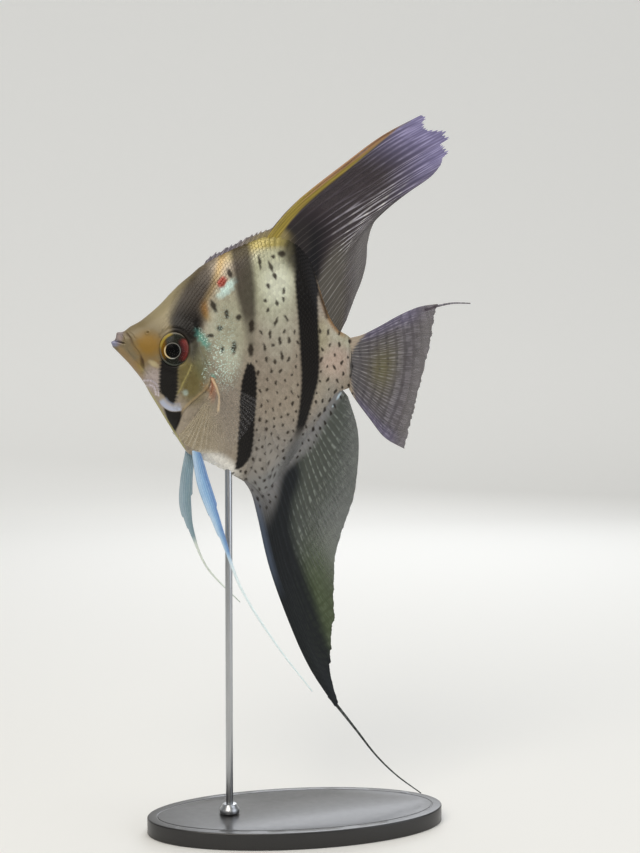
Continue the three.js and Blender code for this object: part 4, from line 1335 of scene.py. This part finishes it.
tail = {
    "root": [(0, 99.6, 1), (0.5, 99.6, -9.8), (1, 99.6, -20.6)],
    "lead": [
        (0, 99.6, 1), (0.15, 105.2, 2.4), (0.38, 113, 6.1), (0.6, 121.7, 10.8), (0.8, 130.5, 14.4),
        (1, 139.3, 15.8),
    ],
    "rear": [
        (0, 99.6, -20.6), (0.12, 101.8, -24.4), (0.35, 108.2, -32.9), (0.65, 115.3, -41.4), (1, 124.9, -46.8),
    ],
    "margin": [
        (0, 139.3, 15.8), (0.1, 137.6, 9), (0.28, 136, -2), (0.45, 133.4, -12.5), (0.65, 129.9, -25.5),
        (0.84, 126.8, -37.5), (1, 124.9, -46.8),
    ],
    "rays": 19, "perRay": 12, "steps": 70, "splits": (0.3, 0.62), "slim": 0.12,
    "thick": 1.6, "edge": 0.4, "ragged": 0.03,
    "lean": lambda u, v: 3 * v * v, "wave": 0.55, "waves": 1.5, "phase": 1.0,
    "masks": tailMasks,
    "web": ("#454046", "#5c575c"), "bone": "#8f8b92", "cloud": 4, "faint": 0.25,
    "streak": 4, "joint": 3.4, "gap": 0.35,
    "webMasks": [
        ("edges", "#625c76", 0.7), ("yellow", "#676136", 0.7), ("thin", "#4a403f", 0.8),
        ("rootMark", "#5c5b5b", 0.5),
    ],
    "boneMasks": [
        ("edges", "#9a94ab", 0.7), ("yellow", "#8f8b60", 0.5), ("thin", "#6b6264", 0.7),
        ("rootMark", "#b0ada8", 0.7),
    ],
    "over": [("ladder", "#2e2b31", 0.6), ("skinLike", "#ab9d8b", 0.9), ("spot", "#1c140e", 0.9)],
    "solid": (0.84, 1.0), "solidMasks": [("thin", -0.3), ("rootMark", 0.3), ("skinLike", 0.5)],
}
analEdge = [
    (97, -20.5), (89.2, -33.8), (83.2, -44.7), (76, -50.6), (70.3, -56.5), (67.9, -67.4), (65.4, -75.9),
    (63, -86),
]
analBlack = [
    (77, -44), (78.4, -57.4), (75.4, -67.6), (74.6, -77.8), (75.4, -84.6), (78.2, -93.2), (83.6, -107),
    (87.5, -118.8), (90.1, -127.5), (93.5, -135), (100, -146),
]


def analMasks(u, v, s, h):
    inner = fromLine(s, h, analEdge)[0]
    lead = np.abs(fromLine(s, h, [k[1:] for k in anal["lead"]])[0])
    return {
        "flank": smooth(2.4, -1.8, inner) * smooth(-84, -60, h),
        "spot": spots(s, h, "left") * smooth(2.5, 0.5, inner),
        "black": smooth(2.6, -2.2, fromLine(s, h, analBlack)[0]) * smooth(-40, -56, h),
        "mist": smooth(0.3, 0.55, u) * smooth(0.85, 0.3, v),
        "green": blob(s, h, 88.5, -112, 11, 26, 0, 0.6),
        # corner: painted glints at the fin's upper corner, by the tail's root
        "corner": blob(s, h, 95, -23.6, 0.45, 1.5, 0.6, 0.8) + blob(s, h, 92.6, -27.6, 0.35, 0.7, 0.6, 0.8),
        "sheen": smooth(3, 0.8, lead) * smooth(-62, -72, h) * smooth(-112, -92, h),
        "thin": smooth(0.25, 0.5, u) * smooth(0.35, 0.95, v),
    }


anal = {
    "root": [
        (0, 51.6, -55.5), (0.1, 57, -59.4), (0.2, 61.6, -63.4), (0.35, 68.5, -57.2), (0.55, 77.5, -44),
        (0.8, 86.5, -31.5), (1, 95.5, -19.8),
    ],
    "lead": [
        (0, 51.6, -55.5), (0.08, 57, -63), (0.17, 59.6, -71.5), (0.4, 65.3, -96), (0.62, 73.7, -119.7),
        (0.82, 82.8, -140), (1, 94.6, -158.4),
    ],
    "rear": [(0, 95.5, -19.8), (1, 99.5, -23.8)],
    "margin": [
        (0, 94.6, -158.4), (0.06, 95.6, -156), (0.14, 93, -146.5), (0.22, 92.6, -135), (0.3, 94.2, -120),
        (0.4, 93.7, -102), (0.5, 94.4, -91), (0.6, 98, -79), (0.7, 102, -68), (0.8, 104.2, -54),
        (0.9, 104, -38.5), (1, 99.5, -23.8),
    ],
    "rays": 27, "perRay": 10, "steps": 110, "splits": (0.5, 0.8), "slim": 0.14,
    "thick": 1.7, "edge": 0.42, "ragged": lambda u: 0.02 + 0.02 * smooth(0.1, 0.3, u) * smooth(0.5, 0.3, u),
    "lean": lambda u, v: 2.5 * v * v, "wave": 0.6, "waves": 1.8, "phase": 2.0,
    "masks": analMasks,
    "web": ("#343833", "#4b504a"), "bone": "#8c928b", "cloud": 6, "faint": 0.15, "boneShare": 0.85,
    "streak": 4, "joint": 3.2, "gap": 0.25,
    "webMasks": [("mist", "#4b4f48", 0.55), ("green", "#46532f", 0.6), ("black", "#14171b", 0.97)],
    "boneMasks": [("black", "#262a31", 0.92), ("green", "#66744c", 0.7)],
    "hideBone": [("thin", 0.6), ("green", 0.55), ("black", 0.8)],
    "over": [
        # corner are painted glints
        ("flank", "#7b7a7a", 0.95), ("sheen", "#525d70", 0.6), ("corner", "#c3d6e2", 0.8),
        ("spot", "#1c140e", 0.95),
    ],
    "solid": (0.86, 1.0), "solidMasks": [("thin", -0.3), ("black", 0.4), ("flank", 0.4)],
}


def makeDorsal():
    fades = lambda t: smooth(0.96, 0.78, t)
    gold = {
        "gold": fades, "pinkGold": lambda t: smooth(0.22, 0.45, t) * fades(t),
        "redGold": lambda t: smooth(0.65, 0.85, t) * fades(t),
    }
    edge = line(dorsal["lead"])
    spineWay = lambda a, b, inset: [
        (t, *(edge(lerp(a, b, t)) + np.array([inset, -inset]) * (1 - 0.6 * t)), -2.5 * lerp(a, b, t) ** 2)
        for t in np.linspace(0, 1, 9)
    ]
    extras = []
    for start, stop, inset, wide in ((0.0, 0.93, 0.5, 1.3), (0.02, 0.66, 1.5, 1.0), (0.04, 0.42, 2.5, 0.9)):
        extras.append(strand(
            spineWay(start, stop, inset),
            lambda t, w=wide: w * (1 - 0.75 * t), lambda t, w=wide: 1.05 * w * (1 - 0.7 * t), **gold
        ))
    return makeFin("dorsal_fin_web", dorsal, extras)


def makeAnal():
    knots = [
        (0, 91.4, -152.6, 2.3), (0.14, 96.6, -159.2, 2.5), (0.35, 103.8, -168.6, 3), (0.6, 112.5, -180, 3.4),
        (0.8, 121.4, -189, 3.2), (1, 132.2, -197.3, 2.4),
    ]
    thread = strand(knots, lambda t: lerp(1.5, 0.42, t**0.6), lambda t: lerp(0.75, 0.42, t), 90, black=0.75)
    return makeFin("anal_fin_web", anal, [thread])


def makeTail():
    knots = [(0, 133, 13, 2.6), (0.3, 139.3, 14.9, 3), (0.6, 146, 16.1, 3.4), (1, 153.85, 16.1, 3.8)]
    thread = strand(knots, lambda t: lerp(1.1, 0.42, t), lambda t: 0.45 + 0 * t, 50)
    return makeFin("tail_fin_web", tail, [thread])


spines = {
    "count": 13, "from": 38.6, "to": 66.5,
    "rays": 13, "perRay": 12, "steps": 26, "splits": (2, 2), "slim": 0.16,
    "thick": 0.85, "edge": 0.3, "ragged": 0.42, "lean": lambda u, v: 0 * u, "wave": 0.15, "waves": 5,
    "masks": lambda u, v, s, h: {
        "gold": smooth(0.35, 0.95, u) * smooth(1.05, 0.4, v), "tip": smooth(0.6, 1, v),
    },
    "web": ("#4c4450", "#6a6068"), "bone": "#a8a2ac", "cloud": 2, "faint": 0.6, "boneShare": 0.9, "streak": 4,
    "joint": 2, "gap": 0.8,
    "webMasks": [("gold", "#8f7f3c", 0.75)], "boneMasks": [("gold", "#a8964e", 0.7), ("tip", "#cfcad6", 0.6)],
    "solid": (0.7, 1.0),
}


def makeSpines():
    count, low, high = spines["count"], spines["from"], spines["to"]
    at = np.linspace(low, high, count)
    tall = 2.2 + 1.5 * np.linspace(0, 1, count) ** 2
    tips = [(i / (count - 1), s + 1.5, float(back(s + 1.5)) + t) for i, (s, t) in enumerate(zip(at, tall))]
    spines["margin"] = tips
    spines["root"] = [(i / (count - 1), s - 1.2, float(back(s - 1.2)) - 1.2) for i, s in enumerate(at)]
    spines["lead"] = [(0, *spines["root"][0][1:]), (1, *tips[0][1:])]
    spines["rear"] = [(0, *spines["root"][-1][1:]), (1, *tips[-1][1:])]
    return makeFin("dorsal_spine_web", spines)


pectoralArc = [(40.3, -16), (42.2, -20), (43, -24.4), (42.3, -30.5)]


def pectoralMasks(u, v, s, h):
    off, along = fromLine(s, h, pectoralArc)
    return {
        "base": smooth(0.2, 0.03, v),
        "film": smooth(0.62, 0.4, u) * smooth(0.12, 0.3, v),
        "olive": smooth(0.5, 0.9, u) * smooth(0, 0.4, v),
        # arc: the curved ray by the fin's root, made more solid and painted with a pale highlight
        "arc": smooth(0.7, 0.1, np.abs(off)) * smooth(1, 0.9, along),
    }


pectoral = {
    "root": [(0, 39.6, -14.8), (1, 40.4, -21)],
    "lead": [(0, 39.6, -14.8), (0.5, 49.5, -19.6), (1, 58.5, -24.2)],
    "rear": [(0, 40.4, -21), (0.5, 33, -31), (1, 25.4, -39.4)],
    "margin": [
        (0, 58.5, -24.2), (0.2, 56.3, -33), (0.45, 48.6, -43.6), (0.7, 38.5, -46.4), (0.87, 30, -43.6),
        (1, 25.4, -39.4),
    ],
    "rays": 13, "perRay": 14, "steps": 60, "splits": (0.3, 2), "slim": 0.11,
    "thick": 0.85, "edge": 0.3, "ragged": 0.02, "wave": 0.3, "waves": 2.2, "masks": pectoralMasks,
    "web": ("#a39679", "#b7ab8e"), "bone": "#cbc2ad", "cloud": 3, "faint": 0.6, "streak": 9, "joint": 2.4,
    "gap": 1.0,
    "webMasks": [("olive", "#857748", 0.6), ("film", "#65666d", 0.9), ("base", "#b5603e", 0.7)],
    "boneMasks": [("film", "#85848a", 0.9), ("base", "#c98a5c", 0.7)],
    # the pale tint on arc is a painted highlight
    "over": [("arc", "#dcc4a2", 0.8)], "rough": 0.3,
    "solid": (0.03, 0.11), "solidMasks": [("base", 0.4), ("olive", 0.16), ("arc", 0.55)],
}


def makePectoral(name, side):
    rootY = halfWidth(39.5, -18) / mm + 0.8
    return makeFin("pectoral_fin_%s_web" % name, {**pectoral, "lean": lambda u, v: side * (rootY + 5 * v)})


pelvic = {
    "left": {
        "way": [
            (0, 33.4, -44, -1), (0.03, 34.7, -48.8, -2.3), (0.09, 37, -59, -3.2), (0.18, 40.6, -70, -4),
            (0.28, 44.6, -81.8, -4.8), (0.45, 52, -102.8, -6), (0.7, 66, -126, -7.6), (1, 81.8, -147.2, -9),
        ],
        "wide": [
            (0, 1.6), (0.03, 3.4), (0.1, 4.6), (0.18, 4.2), (0.28, 3), (0.38, 1.6), (0.6, 1.15), (1, 0.6),
        ],
        "steps": [(1, 0.175, 0.22), (-1, 0.2, 0.15), (-1, 0.275, 0.3)],
    },
    "right": {
        "way": [
            (0, 31.8, -42.6, 1), (0.04, 32, -47, 2.3), (0.16, 30.7, -58.5, 3.4), (0.3, 30.6, -69.5, 4),
            (0.46, 33, -81, 4.8), (0.7, 39.6, -96.5, 6), (1, 53.7, -111.9, 7.4),
        ],
        "wide": [(0, 1.6), (0.04, 3.3), (0.16, 4.4), (0.3, 4.8), (0.42, 3), (0.56, 1.4), (0.75, 1), (1, 0.6)],
        "steps": [(1, 0.24, 0.24), (-1, 0.36, 0.2), (-1, 0.43, 0.25)],
    },
    "rays": 6,
}
pelvicFinish = {
    "left": {
        "web": ("#6f98c6", "#8fb8dc"), "bone": "#c3dcef", "cloud": 4, "faint": 0.5, "streak": 4, "joint": 3,
        "gap": 0.8,
        "webMasks": [("rear", "#5b7fb8", 0.8), ("front", "#c9def2", 0.75), ("thread", "#e6f4f4", 0.95)],
        "boneMasks": [("thread", "#eef8f8", 0.9)],
    },
    "right": {
        "web": ("#76909c", "#8fa8b2"), "bone": "#b5c6cc", "cloud": 4, "faint": 0.5, "streak": 4, "joint": 3,
        "gap": 0.8,
        "webMasks": [("rear", "#7b8f97", 0.6), ("front", "#aab9c6", 0.5), ("thread", "#e4ece0", 0.9)],
        "boneMasks": [("thread", "#f0f4ea", 0.9)],
    },
}


def makePelvic(name):
    spec = pelvic[name]
    wide = through(spec["wide"])
    per, rays = 24, pelvic["rays"]
    t, aside, beside = alongKnots(spec["way"], 200)
    x, tt = np.meshgrid(
        np.concatenate([np.linspace(-1, 1, per, endpoint=False), np.linspace(1, -1, per, endpoint=False)]), t
    )
    half = np.ones(np.shape(x))
    for edgeSide, at, less in spec["steps"]:  # rays of the edge that end early
        half = half * np.where(x * edgeSide > 0, 1 - less * smooth(at - 0.004, at + 0.006, tt), 1)
    cell = (x + 1) / 2 * rays
    ridge = rayRidge(cell, 0.0 * x, (2, 2), 0.3)
    threadShare = smooth(0.5, 0.3, wide(tt) / 4.6)
    out = x * half * wide(tt) / 2 * mm / unit
    thick = lerp(1.0, 0.42, np.minimum(tt * 2, 1)) / 2
    bulge = np.sqrt(np.clip(1 - x**2, 0, 1)) ** lerp(0.35, 1, threadShare) * lerp(
        0.45 + 0.55 * ridge, 1.0, threadShare
    )
    y = aside + np.concatenate([np.ones(per), -np.ones(per)]) * thick * bulge
    curl = 0.5 * np.sin(math.pi * x) * (1 - threadShare) * wide(tt) / 4.6  # a slight fold along the blade
    points = beside(out, (y + 0.3 * curl) * mm).reshape(-1, 3)
    around = 2 * per
    quads = tubeQuads(np.arange(len(points)).reshape(-1, around), 0)
    piece = buildMesh("pelvic_fin_%s_blade" % name, points, [quads])
    giveValues(piece, {
        "show": 0.5 * np.where(threadShare > 0.5, 0.6, ridge) ** 1.6, "across": cell, "along": tt * 120,
        "rear": smooth(0, 0.7, x) * (1 - threadShare), "thread": threadShare,
        "front": smooth(0.2, -0.8, x) * (1 - threadShare) * (1 - 0.6 * np.exp(-(((tt - 0.12) / 0.05) ** 2))),
    })
    giveUnwrap(piece, np.stack([
        0.01 + 0.98 * np.broadcast_to(np.arange(around) / around, x.shape).ravel(),
        0.01 + 0.98 * tt.ravel(),
    ], -1))
    return piece


finish(makeDorsal(), finMaterial("dorsalWeb", dorsal), "dark_fin", "dorsal_fin")
finish(makeTail(), finMaterial("tailWeb", tail), "dark_fin", "tail_fin")
finish(makeAnal(), finMaterial("analWeb", anal), "dark_fin", "anal_fin")
finish(makeSpines(), finMaterial("spineWeb", spines), "gold_fin", "dorsal_fin_spines")
clearWeb = finMaterial("pectoralWeb", pectoral)
for sideName, side in sides.items():
    finish(makePectoral(sideName, side), clearWeb, "pale_fin", "pectoral_fin_" + sideName)
    bladeFinish = finMaterial("pelvicBlade" + sideName.title(), pelvicFinish[sideName])
    finish(makePelvic(sideName), bladeFinish, "blue_fin", "pelvic_fin_" + sideName)

# stand: lacquered oval base, brushed rod and turned collar
stand = {  # mm, but for the collar's steps, which are shares of its height and radius
    "bevel": 1.1, "rim": 3.2, "groove": 0.35, "rodRadius": 1.3, "rodBevel": 0.3, "collarBevel": 0.18,
    "collarFoot": 0.35, "collarSteps": ((0.12, 0.97), (0.2, 0.84), (0.2, 0.9), (0.13, 0.93)),
}


def addCylinder(vertices, radius, depth, middle):
    bpy.ops.object.select_all(action="DESELECT")
    bpy.ops.mesh.primitive_cylinder_add(vertices=vertices, radius=radius, depth=depth, location=middle)
    return bpy.context.object


def addBevel(piece, width, segments):
    bevel = piece.modifiers.new("edge", "BEVEL")
    bevel.width, bevel.segments, bevel.limit_method = width * mm, segments, "ANGLE"
    return bevel


def applied(piece, name):
    bpy.ops.object.transform_apply(location=True, rotation=True, scale=True)
    piece.name = piece.data.name = name
    for modifier in list(piece.modifiers):
        bpy.ops.object.modifier_apply(modifier=modifier.name)
    bpy.ops.object.shade_smooth_by_angle(angle=math.radians(35))
    return piece


def selectFaces(piece, chosen):  # leaves edit mode on, with those faces selected
    bpy.ops.object.mode_set(mode="EDIT")
    bpy.ops.mesh.select_mode(type="FACE")
    bpy.ops.mesh.select_all(action="DESELECT")
    bpy.ops.object.mode_set(mode="OBJECT")
    for face in piece.data.polygons:
        face.select = chosen(face)
    bpy.ops.object.mode_set(mode="EDIT")


def makeBase():
    low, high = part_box("stand_base")
    base = addCylinder(160, 1, high.z - low.z, (low + high) / 2)
    base.scale = ((high.x - low.x) / 2, (high.y - low.y) / 2, 1)
    bpy.ops.object.transform_apply(location=False, rotation=False, scale=True)
    # a shallow groove runs round the top
    selectFaces(base, lambda face: face.normal.z > 0.9)
    groove = stand["groove"] * mm
    bpy.ops.mesh.inset(thickness=stand["rim"] * mm)
    for rise in (-groove, groove):
        bpy.ops.mesh.inset(thickness=groove)
        bpy.ops.transform.translate(value=(0, 0, rise))
    bpy.ops.object.mode_set(mode="OBJECT")
    addBevel(base, stand["bevel"], 5).angle_limit = math.radians(60)
    return applied(base, "stand_base_lacquered")


def makeRod():
    low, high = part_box("stand_rod")
    rod = addCylinder(40, stand["rodRadius"] * mm, high.z - low.z, (low + high) / 2)
    addBevel(rod, stand["rodBevel"], 3)
    return applied(rod, "stand_rod_brushed")


def makeCollar():
    low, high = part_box("stand_collar")
    tall = high.z - low.z
    foot = tall * stand["collarFoot"]
    middle = ((low.x + high.x) / 2, (low.y + high.y) / 2, low.z + foot / 2)
    collar = addCylinder(64, (high.x - low.x) / 2, foot, middle)
    # drawn up to a slimmer neck
    selectFaces(collar, lambda face: face.normal.z > 0.9)
    for rise, shrink in stand["collarSteps"]:
        bpy.ops.mesh.extrude_region_move(TRANSFORM_OT_translate={"value": (0, 0, tall * rise)})
        bpy.ops.transform.resize(value=(shrink, shrink, 1))
    bpy.ops.object.mode_set(mode="OBJECT")
    addBevel(collar, stand["collarBevel"], 3)
    return applied(collar, "stand_collar_turned")


# satin black lacquer sprayed on steel: soft gloss with a faint orange peel
def lacquerMaterial():
    material, tree, shader = newMaterial("blackLacquer")
    peel = {"Height": grainOf(tree, 1.2 * mm, 2), "Strength": 0.15, "Distance": 0.05 * mm}
    rough = {"Value": grainOf(tree, 3 * mm), "To Min": 0.3, "To Max": 0.42}
    fillInputs(tree, shader, {
        "Base Color": paintGrain(tree, grainOf(tree, 9 * mm, 5), "#151414", "#232120"),
        "Roughness": addNode(tree, "MapRange", {}, rough), "Coat Weight": 0.25, "Coat Roughness": 0.2,
        "Normal": addNode(tree, "Bump", {}, peel),
    })
    return material


# stainless rod brushed along its length: fine bright lines
def steelMaterial():
    material, tree, shader = newMaterial("brushedSteel")
    lines = grainOf(tree, 0.25 * mm, 3, (1, 1, 0.02))
    fillInputs(tree, shader, {
        "Base Color": paintGrain(tree, lines, "#9b9da0", "#c9cbcd"), "Metallic": 1.0,
        "Roughness": addNode(tree, "MapRange", {}, {"Value": lines, "To Min": 0.22, "To Max": 0.42}),
    })
    return material


bpy.ops.object.select_all(action="DESELECT")
steel = steelMaterial()
finish(makeBase(), lacquerMaterial(), "base", "stand_base")
finish(makeRod(), steel, "rod", "stand_rod")
finish(makeCollar(), steel, "rod", "stand_collar")
